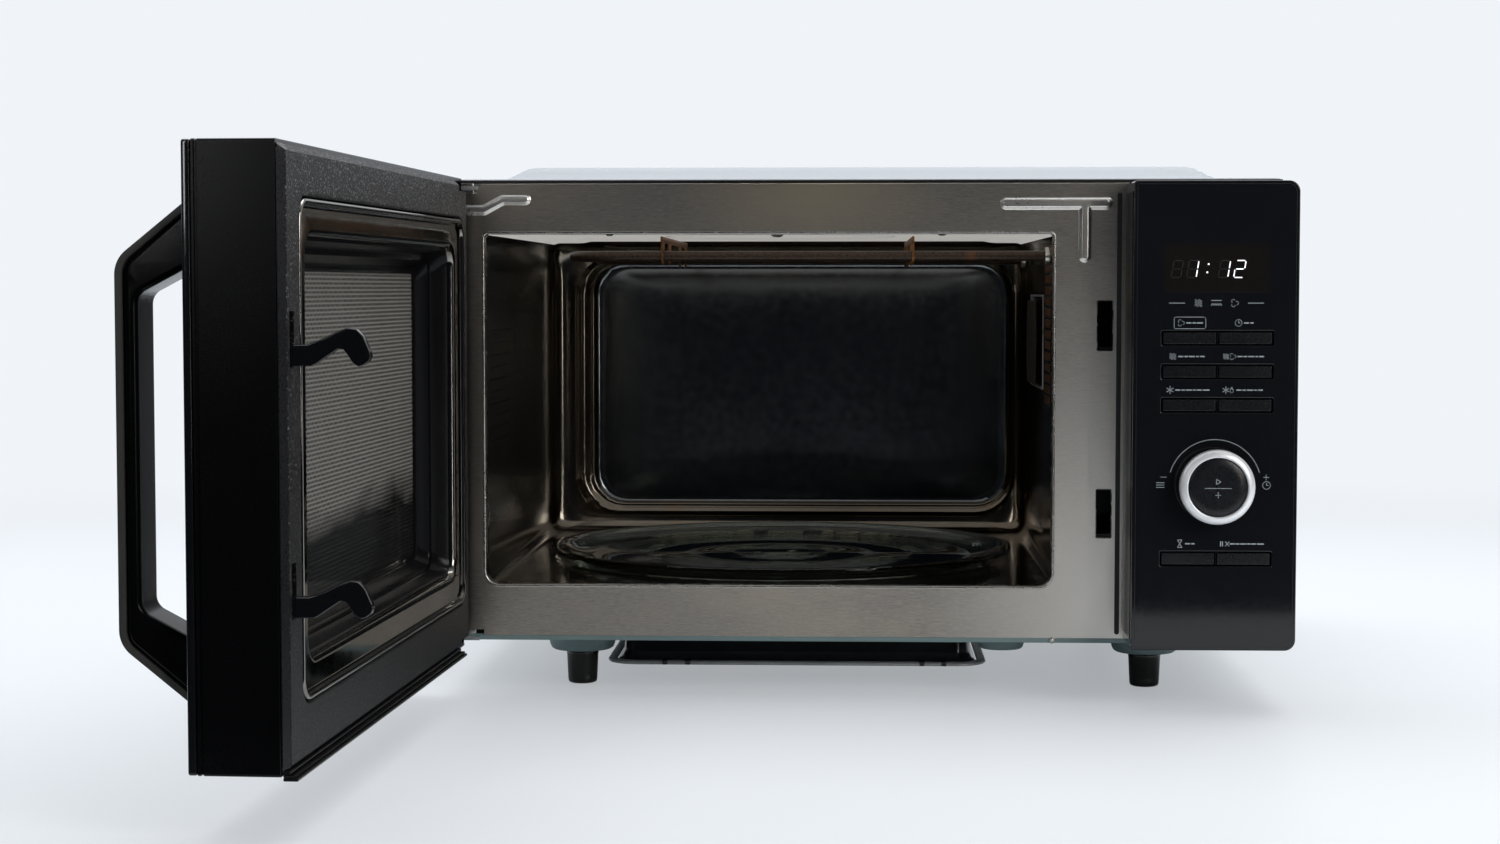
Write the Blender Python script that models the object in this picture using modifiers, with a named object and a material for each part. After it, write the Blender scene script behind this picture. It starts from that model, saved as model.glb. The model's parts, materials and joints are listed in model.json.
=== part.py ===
"""Countertop microwave oven with a grill and a convection fan, door open.

Cabinet frame, in metres: X = 0 on the cabinet's centre plane, Y = 0 on the face of the
front plate (+Y goes to the back), Z = 0 on the worktop under the feet.
"""
import math

import bmesh
import bpy
from mathutils import Vector

# ------------------------------------------------------------------ driving dimensions
GAP = 0.0003                    # air between touching pieces
SHEET = 0.0012                  # sheet metal
WALL = 0.0025                   # moulded plastic

CABINET_HALF = 0.2563           # half width of the steel cabinet
CABINET_BACK = 0.3950
CABINET_TOP = 0.3160
PLATEAU_TOP = 0.3250            # raised field pressed in the top
PLATE_LOW, PLATE_HIGH = 0.0360, 0.3130

OPEN_LEFT, OPEN_RIGHT = -0.2283, 0.1173     # mouth of the oven
OPEN_LOW, OPEN_HIGH = 0.0680, 0.2824
CAVITY_LEFT, CAVITY_RIGHT = -0.2298, 0.1245
CAVITY_LOW, CAVITY_HIGH = 0.0665, 0.2830
CAVITY_BACK = 0.3650
CAVITY_CORNER = 0.0080
WELL_RADIUS, WELL_FLOOR = 0.1480, 0.0525    # sunken round field in the oven floor
CENTRE_X = (CAVITY_LEFT + CAVITY_RIGHT) / 2
CENTRE_Y = 0.1850
FEED = (0.2280, 0.1900, 0.2880, 0.2250)     # microwave feed in the right wall: y0, z0, y1, z1

PANEL_LEFT, PANEL_RIGHT = 0.1609, 0.2573    # control panel
PANEL_LOW, PANEL_HIGH = 0.0360, 0.3126
PANEL_FRONT = -0.0448
PANEL_X = (PANEL_LEFT + PANEL_RIGHT) / 2
KEY_WIDTH, KEY_HEIGHT = 0.0320, 0.0080
KEY_ROWS = (0.2203, 0.2006, 0.1809, 0.0903)
DIAL_Z = 0.1336
DIAL_RADIUS = 0.0219
DIAL_FRONT = -0.0600
BOARD_FRONT = -0.0300

SLOT_LEFT, SLOT_RIGHT = 0.1440, 0.1535      # latch slots in the front plate
SLOT_HEIGHTS = ((0.2117, 0.2421), (0.0979, 0.1276))

HINGE_X, HINGE_Y = -0.2475, -0.0114         # door pivot
DOOR_ANGLE = math.radians(92.5)             # how far the door stands open
DOOR_NOSE = 0.0095                          # pivot to the inner face and to the hinge edge
DOOR_LENGTH = 0.4054                        # pivot to the free edge
DOOR_THICK = 0.0468
DOOR_LOW, DOOR_HIGH = 0.0303, 0.3162
DOOR_LIP = 0.0284
FASCIA = 0.0040
DOOR_OUT = DOOR_NOSE - DOOR_THICK           # outer face
FRAME_INNER = 0.0055                        # where the frame's side walls end
RECESS = (0.0060, 0.0590, 0.3800, 0.2915)   # edge of the drawn steel panel
RECESS_IN = (0.0240, 0.0765, 0.3620, 0.2745)
WINDOW = (0.0450, 0.0900, 0.3450, 0.2610)
WINDOW_DEPTH = -0.0135

HANDLE_AT = 0.3800                          # handle's middle, from the pivot
HANDLE_WIDTH = 0.0260
HANDLE_OUT, HANDLE_CLEAR = 0.0350, 0.0248   # reach of the grip, and the finger gap behind it
HANDLE_TRIM = 0.0035
HANDLE_MIDDLE = 0.1750                      # height of the grip's middle
HOOK_AT, HOOK_THICK = 0.3950, 0.0050
HOOK_Z = (0.2160, 0.1025)

FOOT_LEFT, FOOT_RIGHT = -0.1745, 0.1800
FOOT_FRONT, FOOT_REAR = 0.0500, 0.3450
FOOT_RADIUS = 0.0100
BOSS_DEPTH, BOSS_RADIUS, BOSS_SLOPE = 0.0145, 0.0235, 0.0065
BLIND_BOSS = (0.0890, 0.0335)               # pressed like the foot bosses, but with no foot
BLIND_BOSS_RADIUS, BLIND_BOSS_DEPTH = 0.0165, 0.0105
PAN_LEFT, PAN_RIGHT = -0.1495, 0.0715       # heat-shield pan under the floor
PAN_FRONT, PAN_BACK, PAN_LOW = 0.0500, 0.3000, 0.0122
PAN_FLANGE, PAN_BEND = 0.0098, 0.0060

FAN_X, FAN_Z, FAN_Y = 0.1920, 0.1850, 0.3500
FAN_RADIUS = 0.0480
ROLLER_RADIUS, ROLLER_ORBIT = 0.0060, 0.1010
ROLLER_Z = WELL_FLOOR + ROLLER_RADIUS + GAP
TRAY_LOW = ROLLER_Z + ROLLER_RADIUS + GAP
TRAY_RADIUS, TRAY_BASE = 0.1575, 0.1400
IMPELLER_LOW, IMPELLER_RADIUS = 0.2880, 0.0600
HEATER_Z, HEATER_TUBE = 0.2700, 0.0033
HEATER_RUNS = (0.0750, 0.1350, 0.2350, 0.2950)

# ------------------------------------------------------------------ scene and helpers
for old in list(bpy.data.objects):
    bpy.data.objects.remove(old, do_unlink=True)

parts = bpy.data.collections.new("microwave_oven")
cutters = bpy.data.collections.new("cutters")
bpy.context.scene.collection.children.link(parts)
bpy.context.scene.collection.children.link(cutters)

ALONG = {"x": (0, math.pi / 2, 0), "y": (math.pi / 2, 0, 0), "z": (0, 0, 0)}
PLANE = {"xy": (0, 0, 0), "xz": (math.pi / 2, 0, 0), "yz": (math.pi / 2, 0, math.pi / 2)}


def material(name, colour, roughness, metallic=0.0):
    made = bpy.data.materials.new(name)
    made.use_nodes = True
    shader = made.node_tree.nodes["Principled BSDF"]
    shader.inputs["Base Color"].default_value = (*colour, 1.0)
    shader.inputs["Roughness"].default_value = roughness
    shader.inputs["Metallic"].default_value = metallic
    return made


STEEL = material("brushed_steel", (0.45, 0.43, 0.40), 0.32, 1.0)
CAVITY_STEEL = material("cavity_steel", (0.30, 0.27, 0.24), 0.25, 1.0)
PAINT = material("grey_green_paint", (0.24, 0.32, 0.33), 0.45)
PALE_PAINT = material("pale_grey_paint", (0.46, 0.49, 0.52), 0.45)
GALVANISED = material("galvanised_steel", (0.55, 0.56, 0.57), 0.45, 1.0)
GLOSS = material("gloss_black", (0.010, 0.011, 0.013), 0.12)
MATTE = material("matt_black", (0.020, 0.020, 0.022), 0.50)
SMOKED = material("smoked_glass", (0.02, 0.02, 0.02), 0.05)
GLASS = material("tray_glass", (0.45, 0.55, 0.45), 0.05)
CHROME = material("satin_aluminium", (0.80, 0.80, 0.80), 0.25, 1.0)
GREY_TRIM = material("grey_trim", (0.12, 0.12, 0.12), 0.40, 1.0)
RUBBER = material("foot_plastic", (0.015, 0.015, 0.015), 0.30)
BOARD = material("circuit_board", (0.05, 0.16, 0.08), 0.55)
COPPER = material("copper_winding", (0.55, 0.25, 0.12), 0.35, 1.0)
IRON = material("laminated_iron", (0.20, 0.20, 0.21), 0.55, 1.0)
MICA = material("mica", (0.35, 0.27, 0.16), 0.60)
HEATER = material("heater_sheath", (0.07, 0.045, 0.03), 0.50, 1.0)
WHITE = material("white_plastic", (0.75, 0.74, 0.70), 0.50)


def add(name, mesh, finish=None, at=(0, 0, 0), turn=(0, 0, 0), parent=None):
    """Put a mesh in the scene; with no finish it is a cutter or an adder."""
    thing = bpy.data.objects.new(name, mesh)
    thing.location = at
    thing.rotation_euler = turn
    thing.parent = parent
    if finish is None:
        cutters.objects.link(thing)
        thing.hide_render = True
        thing.display_type = "WIRE"
    else:
        parts.objects.link(thing)
        mesh.materials.append(finish)
    return thing


def box(name, low, high, finish=None, parent=None, bevel=0.0, segments=2):
    """A box between two corners, with optional rounded edges."""
    size = [h - l for l, h in zip(low, high)]
    mesh = bpy.data.meshes.new(name)
    shape = bmesh.new()
    bmesh.ops.create_cube(shape, size=1.0)
    bmesh.ops.scale(shape, vec=size, verts=shape.verts)
    if bevel:
        bmesh.ops.bevel(shape, geom=shape.edges[:], offset=bevel, segments=segments,
                        profile=0.5, affect="EDGES", clamp_overlap=True)
    shape.to_mesh(mesh)
    shape.free()
    middle = [(l + h) / 2 for l, h in zip(low, high)]
    return add(name, mesh, finish, middle, parent=parent)


def rod(name, axis, centre, start, end, radius, finish=None, parent=None, radius_end=None,
        sides=28):
    """A cylinder or cone along x, y or z; centre gives the other two coordinates."""
    mesh = bpy.data.meshes.new(name)
    shape = bmesh.new()
    tip = radius if radius_end is None else radius_end
    bmesh.ops.create_cone(shape, cap_ends=True, segments=sides, radius1=radius, radius2=tip,
                          depth=end - start)
    shape.to_mesh(mesh)
    shape.free()
    if sides > 8:
        mesh.shade_smooth()
        mesh.set_sharp_from_angle(angle=math.radians(40))
    middle = (start + end) / 2
    place = {"x": (middle, *centre), "y": (centre[0], middle, centre[1]),
             "z": (*centre, middle)}[axis]
    turn = ALONG[axis]
    if axis == "y":
        turn = (-math.pi / 2, 0, 0)
    return add(name, mesh, finish, place, turn, parent)


def outline(name, rings, thickness, plane="xz", finish=None, parent=None, at=(0, 0, 0)):
    """A flat plate with the outline in rings[0] and holes in the other rings."""
    curve = bpy.data.curves.new(name + "_outline", "CURVE")
    curve.dimensions = "2D"
    curve.fill_mode = "BOTH"
    curve.extrude = thickness / 2
    for ring in rings:
        spline = curve.splines.new("POLY")
        spline.points.add(len(ring) - 1)
        for point, place in zip(spline.points, ring):
            point.co = (place[0], place[1], 0, 1)
        spline.use_cyclic_u = True
    guide = bpy.data.objects.new(name + "_guide", curve)
    bpy.context.scene.collection.objects.link(guide)
    depsgraph = bpy.context.evaluated_depsgraph_get()
    mesh = bpy.data.meshes.new_from_object(guide.evaluated_get(depsgraph))
    bpy.data.objects.remove(guide)
    weld(mesh)
    return add(name, mesh, finish, at, PLANE[plane], parent)


def weld(mesh):
    shape = bmesh.new()
    shape.from_mesh(mesh)
    bmesh.ops.remove_doubles(shape, verts=shape.verts, dist=0.00001)
    bmesh.ops.recalc_face_normals(shape, faces=shape.faces)
    shape.to_mesh(mesh)
    shape.free()


def rounded(left, low, right, high, radius, steps=4):
    """Corner points of a rectangle with rounded corners, anticlockwise."""
    points = []
    corners = ((right - radius, low + radius, -90), (right - radius, high - radius, 0),
               (left + radius, high - radius, 90), (left + radius, low + radius, 180))
    for x, y, start in corners:
        for step in range(steps + 1):
            angle = math.radians(start + 90 * step / steps)
            points.append((x + radius * math.cos(angle), y + radius * math.sin(angle)))
    return points


def turned(name, profile, finish, centre, parent=None, steps=48):
    """A profile of (radius, height) points turned about a vertical axis."""
    mesh = bpy.data.meshes.new(name)
    shape = bmesh.new()
    verts = [shape.verts.new((radius, 0, height)) for radius, height in profile]
    for first, second in zip(verts, verts[1:]):
        shape.edges.new((first, second))
    shape.to_mesh(mesh)
    shape.free()
    thing = add(name, mesh, finish, centre, parent=parent)
    screw = thing.modifiers.new("turn", "SCREW")
    screw.steps = steps
    screw.render_steps = steps
    screw.use_merge_vertices = True
    screw.merge_threshold = 0.00001
    return thing


def combine(target, operation, *others):
    for other in others:
        step = target.modifiers.new(other.name, "BOOLEAN")
        step.operation = operation
        step.object = other
        step.solver = "EXACT"
    return target


def cut(target, *others):
    return combine(target, "DIFFERENCE", *others)


def join(target, *others):
    return combine(target, "UNION", *others)


def axis_empty(name, place, parent=None, turn=(0, 0, 0)):
    holder = bpy.data.objects.new(name, None)
    parts.objects.link(holder)
    holder.location = place
    holder.rotation_euler = turn
    holder.parent = parent
    return holder


oven = axis_empty("oven_frame", (0, 0, 0))


# ------------------------------------------------------------------ cabinet
def make_cavity():
    """Five-sided oven liner with a round well in its floor."""
    shell = box("cavity", (CAVITY_LEFT - SHEET, 0.0003 + SHEET, CAVITY_LOW - SHEET),
                (CAVITY_RIGHT + SHEET, CAVITY_BACK + SHEET, CAVITY_HIGH + SHEET),
                CAVITY_STEEL, oven)
    well = rod("well_outside", "z", (CENTRE_X, CENTRE_Y), WELL_FLOOR - SHEET, CAVITY_LOW,
               WELL_RADIUS + SHEET, parent=oven, sides=48)
    inside = box("cavity_inside", (CAVITY_LEFT, -0.02, CAVITY_LOW),
                 (CAVITY_RIGHT, CAVITY_BACK, CAVITY_HIGH), parent=oven, bevel=CAVITY_CORNER,
                 segments=3)
    well_inside = rod("well_inside", "z", (CENTRE_X, CENTRE_Y), WELL_FLOOR,
                      CAVITY_LOW + 0.010, WELL_RADIUS, parent=oven, sides=48)
    shaft_hole = rod("shaft_hole", "z", (CENTRE_X, CENTRE_Y), WELL_FLOOR - 0.01,
                     WELL_FLOOR + 0.01, 0.0080, parent=oven, sides=24)
    feed_hole = box("feed_hole", (CAVITY_RIGHT - 0.004, FEED[0], FEED[1]),
                    (CAVITY_RIGHT + 0.004, FEED[2], FEED[3]), parent=oven)
    join(shell, well)
    cut(shell, inside, well_inside, shaft_hole, feed_hole)
    for index in range(8):
        angle = 2 * math.pi * (index + 0.5) / 8
        slot = box(f"ceiling_slot_{index}", (-0.013, -0.0035, -0.01), (0.013, 0.0035, 0.01),
                   parent=oven)
        slot.location = (CENTRE_X + 0.035 * math.cos(angle), CENTRE_Y + 0.035 * math.sin(angle),
                         CAVITY_HIGH)
        slot.rotation_euler = (0, 0, angle)
        cut(shell, slot)


def make_front_plate():
    mouth = rounded(OPEN_LEFT, OPEN_LOW, OPEN_RIGHT, OPEN_HIGH, 0.0070)
    hinge_cut = 0.0265
    edge = [(-CABINET_HALF, PLATE_LOW + 0.004), (-CABINET_HALF + hinge_cut, PLATE_LOW + 0.004),
            (-CABINET_HALF + hinge_cut, PLATE_LOW), (CABINET_HALF, PLATE_LOW),
            (CABINET_HALF, PLATE_HIGH), (-CABINET_HALF + hinge_cut, PLATE_HIGH),
            (-CABINET_HALF + hinge_cut, PLATE_HIGH - 0.0060),
            (-CABINET_HALF, PLATE_HIGH - 0.0060)]
    slots = [rounded(SLOT_LEFT, low, SLOT_RIGHT, high, 0.0010, 1) for low, high in SLOT_HEIGHTS]
    outline("front_plate", [edge, mouth, *slots], SHEET, "xz", STEEL, oven, (0, SHEET / 2, 0))


def make_wrapper():
    """Steel cover over the top and both sides, with a raised field on top."""
    front, back = 0.0020, CABINET_BACK - 0.0020
    low = PLATE_LOW + 0.0020
    cover = box("cabinet_wrapper", (-CABINET_HALF, front, low), (CABINET_HALF, back, CABINET_TOP),
                PALE_PAINT, oven)
    inside = box("wrapper_inside", (-CABINET_HALF + SHEET, front - 0.01, low - 0.01),
                 (CABINET_HALF - SHEET, back + 0.01, CABINET_TOP - SHEET), parent=oven)

    def field(name, inset, top, bottom):
        mesh = bpy.data.meshes.new(name)
        shape = bmesh.new()
        bmesh.ops.create_cube(shape, size=1.0)
        for vert in shape.verts:
            slope = 0.0 if vert.co.z < 0 else 0.0165
            vert.co.x = math.copysign(0.2215 - inset - slope, vert.co.x)
            vert.co.y = math.copysign(0.1700 - inset - slope, vert.co.y)
            vert.co.z = top if vert.co.z > 0 else bottom
        shape.to_mesh(mesh)
        shape.free()
        return add(name, mesh, at=(0, 0.1980, 0), parent=oven)

    join(cover, field("field_outside", 0.0, PLATEAU_TOP, CABINET_TOP - SHEET / 2))
    cut(cover, inside, field("field_inside", SHEET, PLATEAU_TOP - SHEET, CABINET_TOP - 0.004))


def make_back_panel():
    front = CABINET_BACK - SHEET
    edge = rounded(-CABINET_HALF, PLATE_LOW + 0.002, CABINET_HALF, CABINET_TOP, 0.004, 2)
    rings = [edge]
    for row in range(6):
        low = 0.140 + row * 0.016
        rings.append(rounded(FAN_X - 0.042, low, FAN_X + 0.042, low + 0.007, 0.003, 2))
    for row in range(4):
        low = 0.220 + row * 0.016
        rings.append(rounded(CENTRE_X - 0.045, low, CENTRE_X + 0.045, low + 0.007, 0.003, 2))
    rings.append(rounded(0.206, 0.058, 0.220, 0.072, 0.0065, 4))
    outline("back_panel", rings, SHEET, "xz", GALVANISED, oven, (0, front + SHEET / 2, 0))


def make_base_plate():
    """Bottom sheet with a boss pressed down for each foot, and one blind boss."""
    top = PLATE_LOW + SHEET
    edge = 0.0008
    base = box("base_plate", (-CABINET_HALF + SHEET + edge, 0.0022, PLATE_LOW),
               (CABINET_HALF - SHEET - edge, CABINET_BACK - SHEET - edge, top), PAINT, oven)
    bosses = [(x, y, BOSS_RADIUS, BOSS_DEPTH)
              for x in (FOOT_LEFT, FOOT_RIGHT) for y in (FOOT_FRONT, FOOT_REAR)]
    bosses.append((*BLIND_BOSS, BLIND_BOSS_RADIUS, BLIND_BOSS_DEPTH))
    for index, (x, y, radius, depth) in enumerate(bosses):
        low = PLATE_LOW - depth
        join(base, rod(f"boss_{index}", "z", (x, y), low, top, radius - BOSS_SLOPE,
                       parent=oven, radius_end=radius))
        cut(base, rod(f"hollow_{index}", "z", (x, y), low + SHEET, top + 0.0005,
                      radius - BOSS_SLOPE - SHEET, parent=oven, radius_end=radius - SHEET))
    cut(base, rod("motor_hole", "z", (CENTRE_X, CENTRE_Y), PLATE_LOW - 0.01, top + 0.01, 0.0300,
                  parent=oven))


def make_feet():
    names = {"foot_front_left": (FOOT_LEFT, FOOT_FRONT), "foot_front_right": (FOOT_RIGHT, FOOT_FRONT),
             "foot_rear_left": (FOOT_LEFT, FOOT_REAR), "foot_rear_right": (FOOT_RIGHT, FOOT_REAR)}
    high = PLATE_LOW - BOSS_DEPTH - GAP
    for name, place in names.items():
        rod(name, "z", place, 0.0, high, FOOT_RADIUS - 0.0007, RUBBER, oven,
            radius_end=FOOT_RADIUS, sides=24)


def make_heat_shield():
    """Pressed pan under the middle of the base plate, with a flange around its bottom."""
    high = PLATE_LOW - GAP
    rim = high - 0.0070
    pan = box("floor_heat_shield", (PAN_LEFT, PAN_FRONT, PAN_LOW), (PAN_RIGHT, PAN_BACK, high), MATTE,
              oven, bevel=PAN_BEND)
    cut(pan, box("pan_inside", (PAN_LEFT + SHEET, PAN_FRONT + SHEET, PAN_LOW + SHEET),
                 (PAN_RIGHT - SHEET, PAN_BACK - SHEET, high + 0.02), parent=oven,
                 bevel=PAN_BEND - 0.001),
        box("pan_mouth", (PAN_LEFT - 0.01, PAN_FRONT - 0.01, rim),
            (PAN_RIGHT + 0.01, PAN_BACK + 0.01, high + 0.02), parent=oven))
    reach, lap = PAN_FLANGE, PAN_BEND + 0.002
    join(pan, frame_ring("pan_flange",
                         (PAN_LEFT - reach, PAN_FRONT - reach, PAN_RIGHT + reach, PAN_BACK + reach),
                         (PAN_LEFT + lap, PAN_FRONT + lap, PAN_RIGHT - lap, PAN_BACK - lap),
                         PAN_LOW, PAN_LOW + SHEET))
    for side in (PAN_LEFT + 0.03, PAN_RIGHT - 0.03):
        for depth in (PAN_FRONT + 0.002, PAN_BACK - 0.010):
            join(pan, box(f"pan_tab_{side:.3f}_{depth:.3f}", (side - 0.006, depth, PAN_LOW + 0.0006),
                          (side + 0.006, depth + 0.008, high), parent=oven))


def frame_ring(name, outer, inner, low, high):
    """A flat horizontal ring between two rectangles given as (x0, y0, x1, y1)."""
    rings = [rounded(*outer, 0.010, 3), rounded(*inner, 0.005, 3)]
    return outline(name, rings, high - low, "xy", None, oven, (0, 0, (low + high) / 2))


def make_hinges():
    """A tab with a pin above and below the door's hinge edge."""
    for name, tab_low, pin_low, pin_high in (
            ("upper_hinge_bracket", 0.3093, 0.2975, 0.3100),
            ("lower_hinge_bracket", 0.0335, 0.0345, 0.0480)):
        tab = box(name, (HINGE_X - 0.0045, HINGE_Y, tab_low),
                  (HINGE_X + 0.0150, 0.0300, tab_low + 0.0022), GALVANISED, oven)
        nose = rod(name + "_nose", "z", (HINGE_X, HINGE_Y), tab_low, tab_low + 0.0022, 0.0045,
                   parent=oven, sides=24)
        pin = rod(name + "_pin", "z", (HINGE_X, HINGE_Y), pin_low, pin_high, 0.0025, parent=oven)
        clear = box(name + "_clear", (HINGE_X + 0.0045, HINGE_Y - 0.01, tab_low - 0.01),
                    (HINGE_X + 0.03, -0.0022, tab_low + 0.01), parent=oven)
        join(tab, nose, pin)
        cut(tab, clear)


# ------------------------------------------------------------------ control panel
def make_control_panel():
    housing = box("control_panel_housing", (PANEL_LEFT, PANEL_FRONT, PANEL_LOW),
                  (PANEL_RIGHT, -GAP, PANEL_HIGH), GLOSS, oven, bevel=0.0012, segments=2)
    hollow = box("panel_hollow", (PANEL_LEFT + WALL, PANEL_FRONT + WALL, PANEL_LOW + WALL),
                 (PANEL_RIGHT - WALL, 0.01, PANEL_HIGH - WALL), parent=oven)
    window = box("window_hole", (PANEL_X - 0.0300, PANEL_FRONT - 0.01, 0.2478),
                 (PANEL_X + 0.0300, PANEL_FRONT + 0.01, 0.2745), parent=oven)
    dial_hole = rod("dial_hole", "y", (PANEL_X, DIAL_Z), PANEL_FRONT - 0.01, PANEL_FRONT + 0.01,
                    0.0187, parent=oven)
    cut(housing, hollow, window, dial_hole)
    for row, height in enumerate(KEY_ROWS):
        for side in (-1, 1):
            middle = PANEL_X + 0.001 + side * (KEY_WIDTH / 2 + 0.0003)
            cut(housing, box(f"key_hole_{row}_{side}",
                             (middle - KEY_WIDTH / 2, PANEL_FRONT - 0.01, height - KEY_HEIGHT / 2),
                             (middle + KEY_WIDTH / 2, PANEL_FRONT + 0.01, height + KEY_HEIGHT / 2),
                             parent=oven))
    box("display_window", (PANEL_X - 0.0297, PANEL_FRONT + 0.0001, 0.2481),
        (PANEL_X + 0.0297, PANEL_FRONT + 0.0022, 0.2742), SMOKED, oven)
    box("control_board", (PANEL_LEFT + 0.006, BOARD_FRONT, 0.0700),
        (PANEL_RIGHT - 0.006, BOARD_FRONT + 0.0016, 0.2900), BOARD, oven)


def make_keys():
    names = ("microwave_key", "clock_key", "combination_key", "grill_key", "quick_defrost_key",
             "auto_defrost_key", "preset_key", "cancel_key")
    play = GAP
    for index, name in enumerate(names):
        height = KEY_ROWS[index // 2]
        side = -1 if index % 2 == 0 else 1
        middle = PANEL_X + 0.001 + side * (KEY_WIDTH / 2 + 0.0003)
        half_w, half_h = KEY_WIDTH / 2 - play, KEY_HEIGHT / 2 - play
        cap = box(name, (middle - half_w, PANEL_FRONT + 0.0002, height - half_h),
                  (middle + half_w, PANEL_FRONT + 0.0042, height + half_h), GLOSS, oven)
        join(cap, box(name + "_stem", (middle - 0.003, PANEL_FRONT + 0.0040, height - 0.0015),
                      (middle + 0.003, BOARD_FRONT - 0.0016, height + 0.0015), parent=oven))


def make_dial():
    spin = axis_empty("dial_axis", (PANEL_X, DIAL_FRONT, DIAL_Z), oven, (math.pi / 2, 0, 0))
    # local +Z runs out of the panel, towards the user; local z = 0 at the ring's front
    face = PANEL_FRONT - DIAL_FRONT
    turned("dial_skirt", [(0.0185, -0.0040), (0.0212, -0.0040), (0.0212, -face + 0.0004),
                          (0.0182, -face + 0.0004), (0.0182, -face - 0.0060),
                          (0.0173, -face - 0.0060), (0.0173, -0.0040), (0.0185, -0.0040)],
           MATTE, (0, 0, 0), spin, 32)
    turned("dial_ring", [(0.0173, 0.0), (0.0180, 0.0), (0.0204, -0.0004), (DIAL_RADIUS, -0.0020),
                         (DIAL_RADIUS, -0.0070), (0.0215, -0.0070), (0.0215, -0.0037),
                         (0.0173, -0.0037), (0.0173, 0.0)], CHROME, (0, 0, 0), spin, 32)
    button = rod("start_button", "y", (PANEL_X, DIAL_Z), DIAL_FRONT + 0.0004, DIAL_FRONT + 0.0044,
                 0.0168, MATTE, oven)
    join(button, rod("button_stem", "y", (PANEL_X, DIAL_Z), DIAL_FRONT + 0.0040,
                     BOARD_FRONT - 0.0022, 0.0050, parent=oven, sides=20))


# ------------------------------------------------------------------ machine bay
def make_latch_board():
    """Moulded catch behind the plate, with a ledge and a pocket for each hook."""
    board = box("latch_board", (0.1380, SHEET + GAP, 0.0840), (0.1600, 0.0420, 0.2560), MATTE,
                oven)
    for index, (low, high) in enumerate(SLOT_HEIGHTS):
        floor = HOOK_Z[index] - 0.0020
        cut(board, box(f"channel_{index}", (0.1410, -0.01, floor), (0.1565, 0.0385, high + 0.004),
                       parent=oven),
            box(f"pocket_{index}", (0.1410, 0.0200, floor - 0.006), (0.1565, 0.0385, high),
                parent=oven))
    for name, index in (("upper_interlock_switch", 0), ("lower_interlock_switch", 1)):
        middle = sum(SLOT_HEIGHTS[index]) / 2
        switch = box(name, (0.1440, 0.0425, middle - 0.010), (0.1540, 0.0590, middle + 0.010),
                     MATTE, oven)
        for step in (-0.006, 0.0, 0.006):
            join(switch, box(f"{name}_pin_{step}", (0.1480, 0.0580, middle + step - 0.0006),
                             (0.1500, 0.0650, middle + step + 0.0006), parent=oven))


def make_magnetron():
    duct_y, duct_z = (0.1950, 0.3100), (0.1800, 0.2450)
    tube_y, tube_z = (0.2150, 0.2950), (0.1750, 0.2450)
    anode = (sum(tube_y) / 2, sum(tube_z) / 2)
    duct = box("waveguide", (CAVITY_RIGHT + SHEET + GAP, duct_y[0], duct_z[0]),
               (0.1500, duct_y[1], duct_z[1]), GALVANISED, oven)
    cut(duct, box("duct_inside", (0.1200, duct_y[0] + SHEET, duct_z[0] + SHEET),
                  (0.1500 - SHEET, duct_y[1] - SHEET, duct_z[1] - SHEET), parent=oven),
        rod("antenna_hole", "x", anode, 0.145, 0.155, 0.0130, parent=oven, sides=24))
    tube = box("magnetron", (0.1503, tube_y[0], tube_z[0]), (0.1560, tube_y[1], tube_z[1]),
               GALVANISED, oven)
    for index in range(5):
        join(tube, box(f"fin_{index}", (0.1580 + index * 0.006, tube_y[0] + 0.004, tube_z[0] + 0.003),
                       (0.1592 + index * 0.006, tube_y[1] - 0.004, tube_z[1] - 0.003), parent=oven))
    join(tube, rod("anode", "x", anode, 0.1550, 0.2050, 0.0180, parent=oven, sides=24),
         rod("antenna", "x", anode, 0.1330, 0.1555, 0.0080, parent=oven, sides=24),
         box("filter_box", (0.1980, anode[0] - 0.022, anode[1] - 0.020),
             (0.2250, anode[0] + 0.022, anode[1] + 0.020), parent=oven))
    box("waveguide_cover", (CAVITY_RIGHT - 0.0009, FEED[0] - 0.006, FEED[1] - 0.008),
        (CAVITY_RIGHT - GAP, FEED[2] + 0.022, FEED[3] + 0.016), MICA, oven)


def make_power():
    core = box("hv_transformer", (0.1500, 0.2250, 0.0376), (0.2300, 0.2950, 0.1080), IRON, oven)
    join(core, box("winding_front", (0.1620, 0.2080, 0.0480), (0.2180, 0.2260, 0.0980),
                   parent=oven, bevel=0.006),
         box("winding_back", (0.1620, 0.2940, 0.0480), (0.2180, 0.3120, 0.0980), parent=oven,
             bevel=0.006))


def make_cooling_fan():
    motor = box("fan_motor", (FAN_X - 0.030, 0.3160, FAN_Z - 0.022),
                (FAN_X + 0.030, 0.3340, FAN_Z + 0.022), IRON, oven)
    cut(motor, rod("fan_bore", "y", (FAN_X, FAN_Z), 0.3250, 0.3360, 0.0030, parent=oven,
                   sides=20))
    spin = axis_empty("cooling_fan_axis", (FAN_X, FAN_Y, FAN_Z), oven)
    hub = rod("cooling_fan_blade", "y", (0, 0), -0.0080, 0.0100, 0.0110, WHITE, spin, sides=24)
    join(hub, rod("fan_shaft", "y", (0, 0), -0.0240, 0.0, 0.0020, parent=spin, sides=16))
    for index in range(5):
        blade = box(f"fan_vane_{index}", (0.0, -0.0008, -0.0150), (FAN_RADIUS - 0.004, 0.0008, 0.0150),
                    parent=spin)
        angle = 2 * math.pi * index / 5
        middle = 0.0060 + (FAN_RADIUS - 0.004) / 2
        blade.location = (middle * math.cos(angle), 0.0010, middle * math.sin(angle))
        blade.rotation_mode = "YZX"
        blade.rotation_euler = (math.radians(28), -angle, 0)
        join(hub, blade)


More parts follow.
